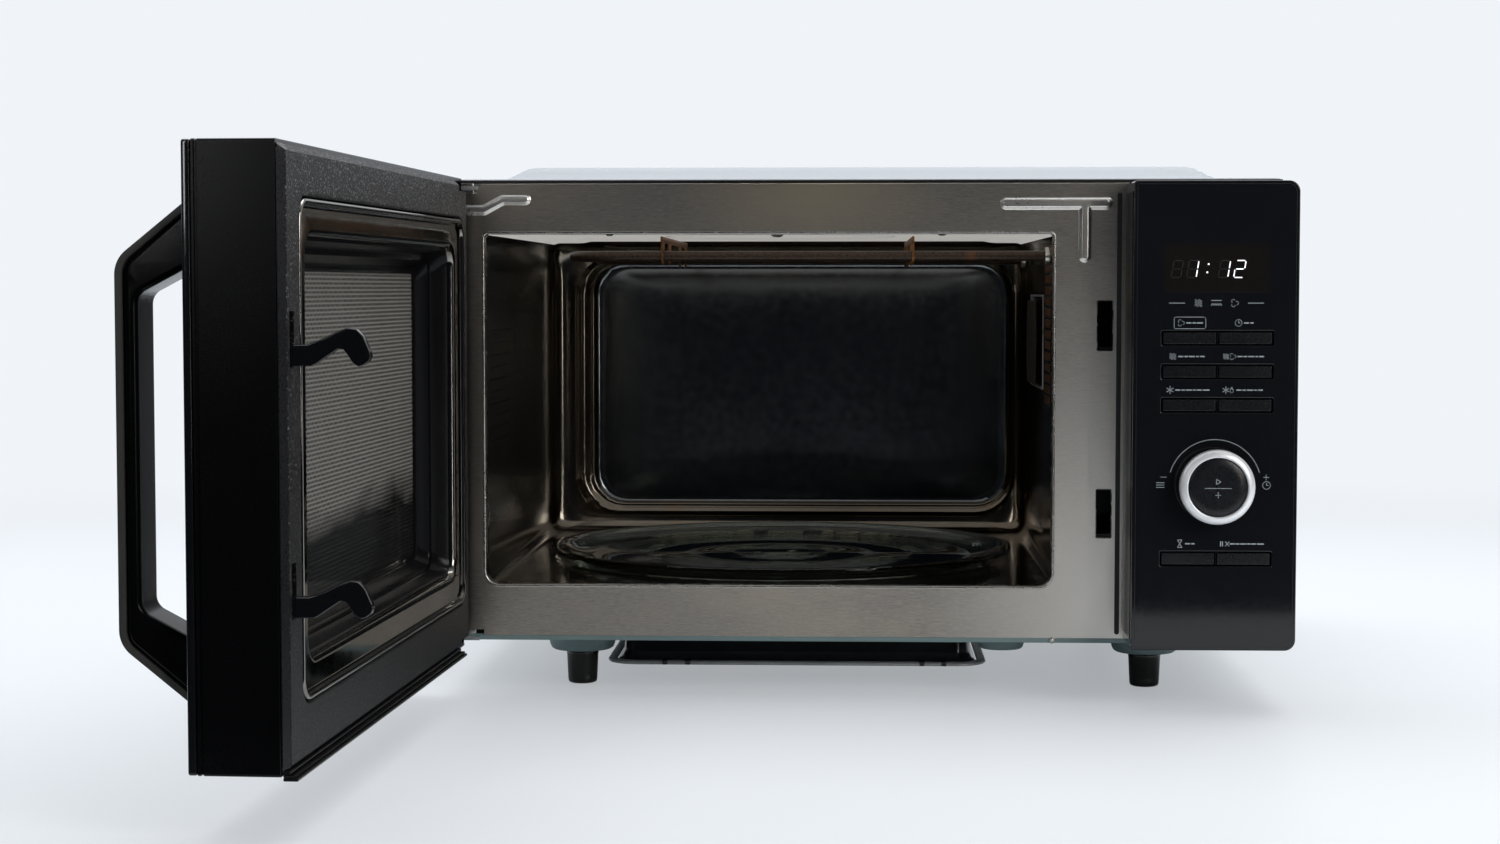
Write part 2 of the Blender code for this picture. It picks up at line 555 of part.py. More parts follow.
def make_lamp():
    bulb = rod("oven_lamp", "x", (0.066, 0.2560), 0.1400, 0.1700, 0.0110, WHITE, oven, sides=24)
    join(bulb, rod("lamp_bulb", "x", (0.066, 0.2560), 0.1290, 0.1405, 0.0070, parent=oven,
                   radius_end=0.0095, sides=24))


# ------------------------------------------------------------------ heating and turntable
def make_heater():
    """Sheathed element in four runs with half-round turns, under the oven ceiling."""
    right, left = CAVITY_RIGHT - 0.0006, CAVITY_LEFT + 0.045
    turn_right = CAVITY_RIGHT - 0.030
    path = [Vector((right, HEATER_RUNS[0], HEATER_Z))]
    for index in range(3):
        near, far = HEATER_RUNS[index], HEATER_RUNS[index + 1]
        radius = (far - near) / 2
        leftwards = index % 2 == 0
        edge = left + radius if leftwards else turn_right - radius
        sign = -1 if leftwards else 1
        for step in range(9):
            angle = math.pi * step / 8
            path.append(Vector((edge + sign * radius * math.sin(angle),
                                near + radius - radius * math.cos(angle), HEATER_Z)))
    path.append(Vector((right, HEATER_RUNS[3], HEATER_Z)))
    curve = bpy.data.curves.new("grill_heater", "CURVE")
    curve.dimensions = "3D"
    curve.bevel_depth = HEATER_TUBE
    curve.bevel_resolution = 2
    curve.use_fill_caps = True
    spline = curve.splines.new("POLY")
    spline.points.add(len(path) - 1)
    for point, place in zip(spline.points, path):
        point.co = (*place, 1)
    thing = bpy.data.objects.new("grill_heater", curve)
    parts.objects.link(thing)
    thing.parent = oven
    curve.materials.append(HEATER)
    for name, middle in (("heater_bracket_left", -0.125), ("heater_bracket_right", 0.0345)):
        bracket = box(name, (middle - 0.0010, HEATER_RUNS[0] - 0.010, HEATER_Z - 0.0060),
                      (middle + 0.0010, HEATER_RUNS[3] + 0.010, CAVITY_HIGH - 0.0006),
                      GALVANISED, oven)
        for run in HEATER_RUNS:
            cut(bracket, rod(f"{name}_hole_{run}", "x", (run, HEATER_Z), middle - 0.01,
                             middle + 0.01, HEATER_TUBE + 0.0005, parent=oven, sides=16))


def make_convection():
    """Fan in a pan on top of the ceiling, with its motor above."""
    low, high = CAVITY_HIGH + SHEET + GAP, 0.3010
    centre = (CENTRE_X, CENTRE_Y, 0)
    turned("convection_housing", [(0.0050, high), (0.0720, high), (0.0780, high - 0.006),
                                  (0.0780, low), (0.0768, low), (0.0768, high - 0.0065),
                                  (0.0715, high - SHEET), (0.0050, high - SHEET),
                                  (0.0050, high)], GALVANISED, centre, oven, 32)
    motor = rod("convection_motor", "z", (CENTRE_X, CENTRE_Y), high + GAP, 0.3200, 0.0280, IRON,
                oven)
    cut(motor, rod("convection_bore", "z", (CENTRE_X, CENTRE_Y), high - 0.002, 0.3100, 0.0035,
                   parent=oven, sides=24))
    spin = axis_empty("convection_axis", (CENTRE_X, CENTRE_Y, IMPELLER_LOW), oven)
    disc = rod("convection_impeller", "z", (0, 0), 0.0078, 0.0090, IMPELLER_RADIUS, CHROME, spin,
               sides=32)
    join(disc, rod("impeller_shaft", "z", (0, 0), 0.0020, 0.0190, 0.0025, parent=spin, sides=20))
    for index in range(8):
        vane = box(f"impeller_vane_{index}", (-0.014, -0.0006, 0.0), (0.014, 0.0006, 0.0080),
                   parent=spin)
        angle = 2 * math.pi * index / 8
        vane.location = (0.043 * math.cos(angle), 0.043 * math.sin(angle), 0.0044)
        vane.rotation_euler = (0, 0, angle + 0.35)
        join(disc, vane)


def make_turntable():
    motor = rod("turntable_motor", "z", (CENTRE_X, CENTRE_Y), 0.0300, WELL_FLOOR - SHEET - GAP,
                0.0245, GALVANISED, oven)
    cut(motor, rod("motor_bore", "z", (CENTRE_X, CENTRE_Y), 0.0440, 0.0600, 0.0040, parent=oven,
                   sides=24))
    spin = axis_empty("turntable_axis", (CENTRE_X, CENTRE_Y, 0), oven)
    hub = rod("turntable_coupler", "z", (0, 0), WELL_FLOOR + 0.0010, TRAY_LOW - GAP, 0.0090, WHITE,
              spin, sides=24)
    join(hub, rod("coupler_shaft", "z", (0, 0), 0.0450, WELL_FLOOR + 0.0020, 0.0034, parent=spin,
                  sides=20))
    for index in range(3):
        lobe = box(f"coupler_lobe_{index}", (0.0, -0.0040, WELL_FLOOR + 0.0030),
                   (0.0200, 0.0040, TRAY_LOW - GAP), parent=spin)
        angle = 2 * math.pi * index / 3
        lobe.location = (0.0100 * math.cos(angle), 0.0100 * math.sin(angle), lobe.location.z)
        lobe.rotation_euler = (0, 0, angle)
        join(hub, lobe)
    tray = turned("glass_tray", [(0.0, 0.0036), (TRAY_BASE - 0.002, 0.0036),
                                 (TRAY_RADIUS - 0.004, 0.0100), (TRAY_RADIUS, 0.0100),
                                 (TRAY_RADIUS, 0.0068), (TRAY_BASE + 0.001, 0.0), (0.0, 0.0)],
                  GLASS, (0, 0, TRAY_LOW), spin, 48)
    for index in range(3):
        angle = 2 * math.pi * (index + 0.5) / 3
        lug = rod(f"tray_lug_{index}", "z", (0.016 * math.cos(angle), 0.016 * math.sin(angle)),
                  TRAY_LOW - 0.0050, TRAY_LOW + 0.0010, 0.0040, parent=spin, sides=16)
        join(tray, lug)
    ring_spin = axis_empty("roller_ring_axis", (CENTRE_X, CENTRE_Y, ROLLER_Z), oven)
    turned("roller_ring", [(0.0920, 0.0020), (0.0970, 0.0020), (0.0970, -0.0020),
                           (0.0920, -0.0020), (0.0920, 0.0020)], WHITE, (0, 0, 0), ring_spin, 40)
    ring = bpy.data.objects["roller_ring"]
    for index in range(3):
        angle = 2 * math.pi * index / 3 + math.pi / 6
        wheel_axis = axis_empty(f"roller_axis_{index + 1}", (0, 0, 0), ring_spin, (0, 0, angle))
        join(ring, rod(f"axle_{index + 1}", "x", (0, 0), 0.0960, 0.1065, 0.0015,
                       parent=wheel_axis, sides=16))
        wheel = rod(f"roller_{index + 1}", "x", (0, 0), ROLLER_ORBIT - 0.0025,
                    ROLLER_ORBIT + 0.0025, ROLLER_RADIUS, WHITE, wheel_axis, sides=24)
        cut(wheel, rod(f"roller_bore_{index + 1}", "x", (0, 0), ROLLER_ORBIT - 0.01,
                       ROLLER_ORBIT + 0.01, 0.0018, parent=wheel_axis, sides=16))


# ------------------------------------------------------------------ door
door = axis_empty("door_hinge_axis", (HINGE_X, HINGE_Y, 0), oven, (0, 0, -DOOR_ANGLE))


def make_door_shell():
    back = DOOR_OUT + FASCIA
    frame = box("door_frame", (-DOOR_NOSE, back + GAP, DOOR_LOW), (DOOR_LENGTH, FRAME_INNER, DOOR_HIGH),
                MATTE, door)
    hollow = box("frame_hollow", (-DOOR_NOSE + WALL, back + WALL, DOOR_LOW + WALL),
                 (DOOR_LENGTH - WALL, 0.02, DOOR_HIGH - WALL), parent=door)
    window = box("frame_window", (WINDOW[0] - 0.010, back - 0.01, WINDOW[1] - 0.010),
                 (WINDOW[2] + 0.010, back + 0.01, WINDOW[3] + 0.010), parent=door)
    cut(frame, hollow, window)
    for name, low, high, notch_low, notch_high, bore_low, bore_high in (
            ("upper", 0.2950, 0.3085, 0.3080, 0.3200, 0.2960, 0.3200),
            ("lower", 0.0368, 0.0500, 0.0200, 0.0372, 0.0200, 0.0490)):
        block = box(name + "_pivot_block", (-DOOR_NOSE + 0.0005, -0.0080, low),
                    (0.0080, FRAME_INNER - 0.0005, high), parent=door)
        notch = box(name + "_notch", (-0.0200, -0.0085, notch_low), (0.0190, 0.0200, notch_high),
                    parent=door)
        bore = rod(name + "_pivot_bore", "z", (0, 0), bore_low, bore_high, 0.00270, parent=door)
        join(frame, block)
        cut(frame, notch, bore)
    shelf = box("spring_shelf", (HOOK_AT - 0.0060, -0.0180, 0.0560),
                (DOOR_LENGTH - 0.0010, -0.0040, 0.0590), parent=door)
    join(frame, shelf)
    fascia = rounded(-DOOR_NOSE, DOOR_LOW + 0.0002, DOOR_LENGTH, DOOR_HIGH - 0.0002, 0.0015, 2)
    hole = rounded(WINDOW[0] - 0.004, WINDOW[1] - 0.004, WINDOW[2] + 0.004, WINDOW[3] + 0.004,
                   0.010, 3)
    outline("door_front_panel", [fascia, hole], FASCIA, "xz", GLOSS, door,
            (0, DOOR_OUT + FASCIA / 2, 0))
    pane = rounded(WINDOW[0] - 0.0037, WINDOW[1] - 0.0037, WINDOW[2] + 0.0037, WINDOW[3] + 0.0037,
                   0.010, 3)
    outline("door_outer_glass", [pane], FASCIA - 0.0010, "xz", SMOKED, door,
            (0, DOOR_OUT + FASCIA / 2 + 0.0001, 0))


def make_door_lining():
    """Textured choke cover, drawn steel panel and inner pane."""
    back = FRAME_INNER + GAP
    edge = rounded(-0.0045, DOOR_LIP, DOOR_LENGTH - 0.0015, DOOR_HIGH - 0.0020, 0.003, 2)
    edge = [(x, max(z, DOOR_LIP)) for x, z in edge]
    hole = rounded(RECESS[0] - GAP, RECESS[1] - GAP, RECESS[2] + GAP, RECESS[3] + GAP, 0.012)
    slots = [rounded(HOOK_AT - 0.0040, z - 0.0018, HOOK_AT + 0.0040, z + 0.0235, 0.0005, 1)
             for z in HOOK_Z]
    cover = outline("choke_cover", [edge, hole, *slots], DOOR_NOSE - back, "xz", MATTE, door,
                    (0, (DOOR_NOSE + back) / 2, 0))
    cut(cover, box("cover_notch_upper", (-0.02, -0.02, 0.3080), (0.0190, 0.02, 0.33), parent=door),
        box("cover_notch_lower", (-0.02, -0.02, 0.0), (0.0190, 0.02, 0.0372), parent=door))
    drawn = loft("door_inner_panel", RECESS_IN, WINDOW, 0.0, STEEL)
    flange = outline("panel_flange", [rounded(*RECESS, 0.012)], SHEET, "xz", None, door,
                     (0, 0.0084, 0))
    join(drawn, flange)
    cut(drawn, loft("panel_hollow_shape", RECESS_IN, WINDOW, SHEET, None))
    pane = rounded(WINDOW[0] + 0.0022, WINDOW[1] + 0.0022, WINDOW[2] - 0.0022, WINDOW[3] - 0.0022,
                   0.008, 3)
    outline("door_inner_glass", [pane], 0.0025, "xz", SMOKED, door,
            (0, WINDOW_DEPTH + SHEET + GAP + 0.00125, 0))


def loft(name, mouth, floor, inset, finish):
    """Solid between a mouth rectangle at the inner face and a smaller floor, both rounded.

    With an inset it is smaller all round and runs on past the mouth, to hollow the plain one.
    """
    face = 0.0088
    levels = [(floor, WINDOW_DEPTH + inset, 0.008), (mouth, face, 0.012)]
    if inset:
        levels.append((mouth, 0.0200, 0.012))
    mesh = bpy.data.meshes.new(name)
    shape = bmesh.new()
    rows = []
    for rect, depth, radius in levels:
        points = rounded(rect[0] + inset, rect[1] + inset, rect[2] - inset, rect[3] - inset, radius)
        rows.append([shape.verts.new((x, depth, z)) for x, z in points])
    for low, high in zip(rows, rows[1:]):
        for index in range(len(low)):
            after = (index + 1) % len(low)
            shape.faces.new((low[index], low[after], high[after], high[index]))
    shape.faces.new(rows[0])
    shape.faces.new(rows[-1])
    bmesh.ops.recalc_face_normals(shape, faces=shape.faces)
    shape.to_mesh(mesh)
    shape.free()
    return add(name, mesh, finish, parent=door)


def bow(inset, radius):
    """Bow line in (outward, height), inset from the handle's outer edge."""
    foot, corner, out = 0.1155 - 1.25 * inset, 0.0875 - 0.45 * inset, HANDLE_OUT - inset
    top, bottom = HANDLE_MIDDLE + foot, HANDLE_MIDDLE - foot
    high, low = HANDLE_MIDDLE + corner, HANDLE_MIDDLE - corner
    return [(0.0, bottom), *arc_between((0.0, bottom), (out, low), (out, high), radius),
            *arc_between((out, low), (out, high), (0.0, top), radius), (0.0, top)]


def grip_inside():
    """The finger gap's edge, from top to bottom."""
    foot, corner = 0.0847, 0.0716
    top, bottom = HANDLE_MIDDLE + foot, HANDLE_MIDDLE - foot
    high, low = HANDLE_MIDDLE + corner, HANDLE_MIDDLE - corner
    return [(0.0, top), *arc_between((0.0, top), (HANDLE_CLEAR, high), (HANDLE_CLEAR, low), 0.007),
            *arc_between((HANDLE_CLEAR, high), (HANDLE_CLEAR, low), (0.0, bottom), 0.007),
            (0.0, bottom)]


def behind_door(points):
    return [(DOOR_OUT - GAP - outward, height) for outward, height in points]


def arc_between(before, corner, after, radius, steps=4):
    """Points of a fillet at a corner between two straight stretches."""
    corner, before, after = Vector(corner), Vector(before), Vector(after)
    first, second = (before - corner).normalized(), (after - corner).normalized()
    half = first.angle(second) / 2
    reach = radius / math.tan(half)
    centre = corner + (first + second).normalized() * (radius / math.sin(half))
    start, end = corner + first * reach - centre, corner + second * reach - centre
    points = []
    for step in range(steps + 1):
        blend = start.lerp(end, step / steps).normalized() * radius
        points.append(tuple(centre + blend))
    return points


def make_handle():
    grip = bow(HANDLE_TRIM + GAP, 0.010) + grip_inside()
    strip = bow(0.0, 0.014) + bow(HANDLE_TRIM, 0.0105)[::-1]
    outline("door_handle", [behind_door(grip)], HANDLE_WIDTH, "yz", MATTE, door,
            (HANDLE_AT, 0, 0))
    outline("handle_trim", [behind_door(strip)], HANDLE_WIDTH, "yz", GREY_TRIM, door,
            (HANDLE_AT, 0, 0))


def make_latch():
    """One bar inside the door that carries both hooks, and its spring."""
    hook = [(0, 8.6), (7.5, 8.6), (15, 11.4), (22, 14.8), (25.5, 15.9), (30, 15.4), (33.4, 12),
            (36.3, 5.8), (36.6, 3.4), (35.6, 1.2), (33, -0.7), (30.6, -1), (28, 0.6), (25.6, 4.4),
            (23.8, 6.4), (21.6, 6.6), (17, 3.6), (11.1, -0.4), (9, -1), (0, -1)]
    bar_out, bar_in = -0.0180, -0.0070
    points = [(bar_out, 0.0800), (bar_out, 0.2560), (bar_in, 0.2560)]
    for base in HOOK_Z:
        for along, up in hook:
            reach = bar_in if along == 0 else DOOR_NOSE + along / 1000
            points.append((reach, base + up / 1000))
    points.append((bar_in, 0.0800))
    outline("latch_hook_bar", [points], HOOK_THICK, "yz", MATTE, door, (HOOK_AT, 0, 0))
    turns, radius, wire = 5, 0.0026, 0.0004
    low, high = 0.0590 + GAP + wire, 0.0800 - GAP - wire
    steps = turns * 8
    curve = bpy.data.curves.new("latch_spring", "CURVE")
    curve.dimensions = "3D"
    curve.bevel_depth = wire
    curve.bevel_resolution = 2
    curve.use_fill_caps = True
    spline = curve.splines.new("POLY")
    spline.points.add(steps)
    for index, point in enumerate(spline.points):
        angle = 2 * math.pi * index / 8
        point.co = (HOOK_AT + radius * math.cos(angle), -0.0125 + radius * math.sin(angle),
                    low + (high - low) * index / steps, 1)
    thing = bpy.data.objects.new("latch_spring", curve)
    parts.objects.link(thing)
    thing.parent = door
    curve.materials.append(GALVANISED)


def make_cord_gland():
    gland = rod("cord_gland", "y", (0.2130, 0.0650), CABINET_BACK - 0.008, CABINET_BACK + 0.006,
                0.0060, MATTE, oven, sides=24)
    join(gland, rod("gland_collar", "y", (0.2130, 0.0650), CABINET_BACK + GAP,
                    CABINET_BACK + 0.0030, 0.0095, parent=oven, sides=24))


make_cavity()
make_front_plate()
make_wrapper()
make_back_panel()
make_base_plate()
make_feet()
make_heat_shield()
make_hinges()
make_control_panel()
make_keys()
make_dial()
make_latch_board()
make_magnetron()
make_power()
make_cooling_fan()
make_lamp()
make_heater()
make_convection()
make_turntable()
make_door_shell()
make_door_lining()
make_handle()
make_latch()
make_cord_gland()


# ------------------------------------------------------------------ centre the frame
def centre_on_worktop():
    """Move the whole oven so that its box stands centred on the origin."""
    bpy.context.view_layer.update()
    depsgraph = bpy.context.evaluated_depsgraph_get()
    low, high = Vector((9, 9, 9)), Vector((-9, -9, -9))
    for thing in parts.objects:
        if thing.type == "EMPTY":
            continue
        solid = thing.evaluated_get(depsgraph)
        mesh = solid.to_mesh()
        for vert in mesh.vertices:
            place = solid.matrix_world @ vert.co
            low = Vector(map(min, low, place))
            high = Vector(map(max, high, place))
        solid.to_mesh_clear()
    middle = (low + high) / 2
    oven.location = (-middle.x, -middle.y, 0)


centre_on_worktop()
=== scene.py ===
"""Looks of the countertop microwave oven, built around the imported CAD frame.

Cabinet frame: X = 0 on the cabinet's centre plane, Y = 0 on the front plate's face, Z up.
Door frame: X runs from the pivot to the free edge, +Y is the door's inner side, Z up.
Lengths are in metres.
"""
import json
import math

import bmesh
import bpy
import numpy as np
from mathutils import Matrix, Vector


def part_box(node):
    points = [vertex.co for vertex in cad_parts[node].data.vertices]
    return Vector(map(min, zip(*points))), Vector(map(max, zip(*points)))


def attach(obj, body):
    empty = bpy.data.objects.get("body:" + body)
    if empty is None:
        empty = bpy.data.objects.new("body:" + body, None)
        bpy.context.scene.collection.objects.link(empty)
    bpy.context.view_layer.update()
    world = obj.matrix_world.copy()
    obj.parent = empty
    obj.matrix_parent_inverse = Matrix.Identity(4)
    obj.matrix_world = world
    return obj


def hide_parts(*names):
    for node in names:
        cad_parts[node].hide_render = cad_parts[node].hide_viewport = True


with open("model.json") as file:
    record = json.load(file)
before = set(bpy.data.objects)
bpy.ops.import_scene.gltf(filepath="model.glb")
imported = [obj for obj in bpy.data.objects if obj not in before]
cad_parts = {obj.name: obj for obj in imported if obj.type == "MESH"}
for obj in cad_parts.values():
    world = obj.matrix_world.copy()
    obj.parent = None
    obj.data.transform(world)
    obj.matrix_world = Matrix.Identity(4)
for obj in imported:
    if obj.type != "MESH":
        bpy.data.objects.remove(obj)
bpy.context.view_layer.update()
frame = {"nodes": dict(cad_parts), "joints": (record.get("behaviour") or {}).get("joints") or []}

# ------------------------------------------------------------------ frames and dimensions
plate_low, plate_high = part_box("front_plate")
CAB = Matrix.Translation(((plate_low.x + plate_high.x) / 2, plate_low.y, 0))
HINGE = next(j for j in frame["joints"] if j["name"] == "door_hinge")
DOOR = (Matrix.Translation((HINGE["pos_m"][0], HINGE["pos_m"][1], 0))
        @ Matrix.Rotation(-math.radians(HINGE["range_deg"][1]), 4, "Z"))


def extent(node, place=CAB):
    """Lowest and highest corner of a CAD node in a local frame."""
    back = place.inverted()
    points = [back @ v.co for v in frame["nodes"][node].data.vertices]
    low = Vector([min(p[i] for p in points) for i in range(3)])
    high = Vector([max(p[i] for p in points) for i in range(3)])
    return low, high


def middle_of(node, place=CAB):
    return tuple((low + high) / 2 for low, high in zip(*extent(node, place)))


def outline(node, place=CAB):
    """Front rectangle of a CAD node as x0, z0, x1, z1."""
    low, high = extent(node, place)
    return low.x, low.z, high.x, high.z


SHEET = 0.0012
MOUTH = (-0.2283, 0.0680, 0.1173, 0.2824)           # x0, z0, x1, z1 of the oven's mouth
MOUTH_RADII = (0.0080, 0.0080, 0.0020, 0.0020)      # bottom left, bottom right, top right, top left
LINER = (-0.2298, 0.0665, 0.1245, 0.2830)
LINER_BACK = 0.3650
LINER_CORNER = 0.0080
WELL_RADIUS, WELL_DEPTH = 0.1480, 0.0140
CENTRE = ((LINER[0] + LINER[2]) / 2, 0.1850)
BACK_BEAD = (-0.2136, 0.0770, 0.1195, 0.2745)       # outer edge of the back wall's pressed frame
BACK_FIELD = (-0.1969, 0.0882, 0.1117, 0.2672)      # flat field inside it
RECESS = (0.0060, 0.0590, 0.3800, 0.2915)           # door's drawn steel panel
RECESS_IN = (0.0240, 0.0765, 0.3620, 0.2745)
WINDOW = (0.0450, 0.0900, 0.3450, 0.2610)
SLOTS = ((0.1440, 0.2117, 0.1535, 0.2421), (0.1440, 0.0979, 0.1535, 0.1276))
HOOK_Z = (0.2160, 0.1025)
HOOK_AT = 0.3950
PIVOT = (-0.2475, -0.0114)                          # hinge axis in the cabinet frame
BASE_Z = 0.0366                                     # middle of the bottom sheet
NOTCH_BELOW = 0.0376                                # door cut away for the hinges below this
NOTCH_ABOVE = 0.3078                                # and above this
SCREEN_AT = -0.0135                                 # perforated sheet in the door
KNURLS = 72
SLANT = 0.16                                        # of the clock's digits
DIGIT_WIDTH, DIGIT_HEIGHT = 0.0056, 0.0099
FEET = ("foot_front_left", "foot_front_right", "foot_rear_left", "foot_rear_right")


# ------------------------------------------------------------------ materials
def nodes_of(name):
    made = bpy.data.materials.new(name)
    made.use_nodes = True
    tree = made.node_tree
    return made, tree, tree.nodes["Principled BSDF"]


def feed(tree, node, inputs):
    """Link or set the inputs of a node."""
    for key, value in inputs.items():
        if isinstance(value, bpy.types.NodeSocket):
            tree.links.new(value, node.inputs[key])
        else:
            node.inputs[key].default_value = value


def add_node(tree, kind, inputs=(), **settings):
    node = tree.nodes.new(kind)
    for key, value in settings.items():
        setattr(node, key, value)
    feed(tree, node, dict(inputs))
    return node


def calculate(tree, operation, first, second):
    return add_node(tree, "ShaderNodeMath", {0: first, 1: second}, operation=operation).outputs[0]


def position(tree, axis=None, space="Object"):
    """Texture coordinate, whole or along one axis."""
    place = add_node(tree, "ShaderNodeTexCoord").outputs[space]
    return add_node(tree, "ShaderNodeSeparateXYZ", {0: place}).outputs[axis] if axis else place


def noise(tree, scale, stretch=(1, 1, 1), detail=3.0, roughness=0.55, offset=(0, 0, 0)):
    """Noise in the piece's own coordinates; scale is in features per metre."""
    spread = add_node(tree, "ShaderNodeMapping", {"Vector": position(tree), "Scale": stretch,
                                                  "Location": offset})
    made = add_node(tree, "ShaderNodeTexNoise", {"Vector": spread.outputs[0], "Scale": scale,
                                                 "Detail": detail, "Roughness": roughness})
    return made.outputs["Fac"]


def ranged(tree, value, low, high, start=0.3, end=0.7):
    """Low to high while the value goes from start to end."""
    node = add_node(tree, "ShaderNodeMapRange", {"Value": value, "From Min": start,
                                                 "From Max": end, "To Min": low, "To Max": high})
    return node.outputs[0]


def blend_colour(tree, factor, first, second):
    node = add_node(tree, "ShaderNodeMix", {0: factor}, data_type="RGBA")
    for key, colour in ((6, first), (7, second)):
        is_socket = isinstance(colour, bpy.types.NodeSocket)
        feed(tree, node, {key: colour if is_socket else (*colour, 1)})
    return node.outputs[2]


def bumped(tree, height, distance, strength=1.0):
    return add_node(tree, "ShaderNodeBump", {"Height": height, "Distance": distance,
                                             "Strength": strength}).outputs[0]


GRAIN_SPAN = (0.36, 0.64)      # part of the noise over which a finish goes from dark to light


def finish(name, dark, light, rough, metallic=0.0, grain=300, stretch=(1, 1, 1), bump=0.0,
           smudge=14, specular=0.5, glow=0.0, alpha=1.0):
    """Two-tone surface: fine grain over broad smudges, in colour, roughness and relief."""
    made, tree, shader = nodes_of(name)
    fine = noise(tree, grain, stretch, 4.0)
    broad = noise(tree, smudge, detail=4.0, offset=(3.1, 1.7, 0.4))
    half = calculate(tree, "MULTIPLY", calculate(tree, "ADD", fine, broad), 0.5)
    tone = blend_colour(tree, ranged(tree, half, 0.0, 1.0, *GRAIN_SPAN), dark, light)
    feed(tree, shader, {"Base Color": tone, "Roughness": ranged(tree, half, *rough, *GRAIN_SPAN),
                        "Metallic": metallic, "Specular IOR Level": specular,
                        "Emission Color": (*light, 1), "Emission Strength": glow, "Alpha": alpha})
    if bump:
        feed(tree, shader, {"Normal": bumped(tree, fine, bump)})
    return made


def patch(tree, under, centre, reach, strength, colour):
    """Soft patch of another tone around a place on the piece, for painting light and shade into its
    colour.
    """
    around = add_node(tree, "ShaderNodeMapping", {"Vector": position(tree), "Location": centre,
                                                  "Scale": reach}, vector_type="TEXTURE")
    ball = add_node(tree, "ShaderNodeTexGradient", {"Vector": around.outputs[0]},
                    gradient_type="SPHERICAL")
    return blend_colour(tree, ranged(tree, ball.outputs["Fac"], 0.0, strength, 0.0, 1.0), under,
                        colour)


def brushed_steel():
    """Horizontally brushed stainless: it blurs reflections up and down, less so sideways."""
    made, tree, shader = nodes_of("brushed_stainless")
    streak = noise(tree, 1.0, (70, 70, 2300), 5.0, 0.65)
    hair = noise(tree, 1.0, (260, 260, 5200), 2.0, 0.5, (1, 2, 3))
    wipe = noise(tree, 9.0, (1, 1, 1.6), 5.0, 0.6, (7, 2, 5))
    lined = calculate(tree, "ADD", streak, hair)
    steel = blend_colour(tree, ranged(tree, lined, 0.0, 1.0, 0.80, 1.20), (0.40, 0.36, 0.315),
                         (0.66, 0.605, 0.54))
    tone = blend_colour(tree, ranged(tree, wipe, 0.0, 0.45, 0.46, 0.66), steel, (0.74, 0.64, 0.52))
    # Painted light and shade on the plate: the light patch at the lower right is a painted
    # highlight, the warm one at the top middle is a painted reflection, and the dark strip along
    # the left edge is the painted reflection of the door's dark side.
    for centre, reach, strength, colour in (
            ((0.175, 0.0, 0.010), (0.135, 1.0, 0.270), 1.45, (0.97, 0.925, 0.86)),
            ((-0.030, 0.0, 0.310), (0.090, 1.0, 0.045), 1.15, (0.90, 0.76, 0.56)),
            ((-0.247, 0.0, 0.165), (0.032, 1.0, 0.200), 1.10, (0.16, 0.145, 0.13))):
        tone = patch(tree, tone, centre, reach, strength, colour)
    upright = add_node(tree, "ShaderNodeCombineXYZ", {"Z": 1.0})
    feed(tree, shader, {"Base Color": tone, "Metallic": 1.0, "Anisotropic": 0.80,
                        "Roughness": ranged(tree, lined, 0.33, 0.42, 0.8, 1.2),
                        "Tangent": upright.outputs[0],
                        "Normal": bumped(tree, lined, 0.00003, 0.5)})
    return made


def textured_plastic():
    """Moulded black plastic with a fine spark-eroded grain whose glints are painted into its
    colour, brighter towards the top as painted light from above.
    """
    made, tree, shader = nodes_of("textured_black_plastic")
    grain = noise(tree, 1500, detail=2.0, roughness=0.6)
    glint = ranged(tree, noise(tree, 820, detail=1.0, offset=(2, 5, 1)), 0.0, 1.0, 0.57, 0.70)
    # Painted light: the painted glints go from dark at the bottom of the door to light at its top.
    painted_top_light = blend_colour(tree, ranged(tree, position(tree, "Z"), 0.0, 1.0, 0.05, 0.30),
                        (0.03, 0.03, 0.031), (0.20, 0.20, 0.205))
    feed(tree, shader, {"Base Color": blend_colour(tree, glint, (0.005, 0.005, 0.006), painted_top_light),
                        "Roughness": ranged(tree, grain, 0.36, 0.60), "Specular IOR Level": 0.20,
                        "Normal": bumped(tree, grain, 0.00035, 0.8)})
    return made


def heat_tinted():
    """Heater sheath: dark oxide with orange-brown bands where it has run hottest."""
    made, tree, shader = nodes_of("heat_tinted_sheath")
    bands = ranged(tree, noise(tree, 26, (1, 0.3, 0.3), 3.0), 0.0, 1.0, 0.60, 0.74)
    fine = noise(tree, 600, detail=3.0)
    oxide = blend_colour(tree, ranged(tree, fine, 0.0, 1.0), (0.035, 0.022, 0.016),
                         (0.095, 0.064, 0.046))
    feed(tree, shader, {"Base Color": blend_colour(tree, bands, oxide, (0.42, 0.12, 0.03)),
                        "Roughness": ranged(tree, fine, 0.30, 0.50), "Metallic": 0.7,
                        "Normal": bumped(tree, fine, 0.00005)})
    return made


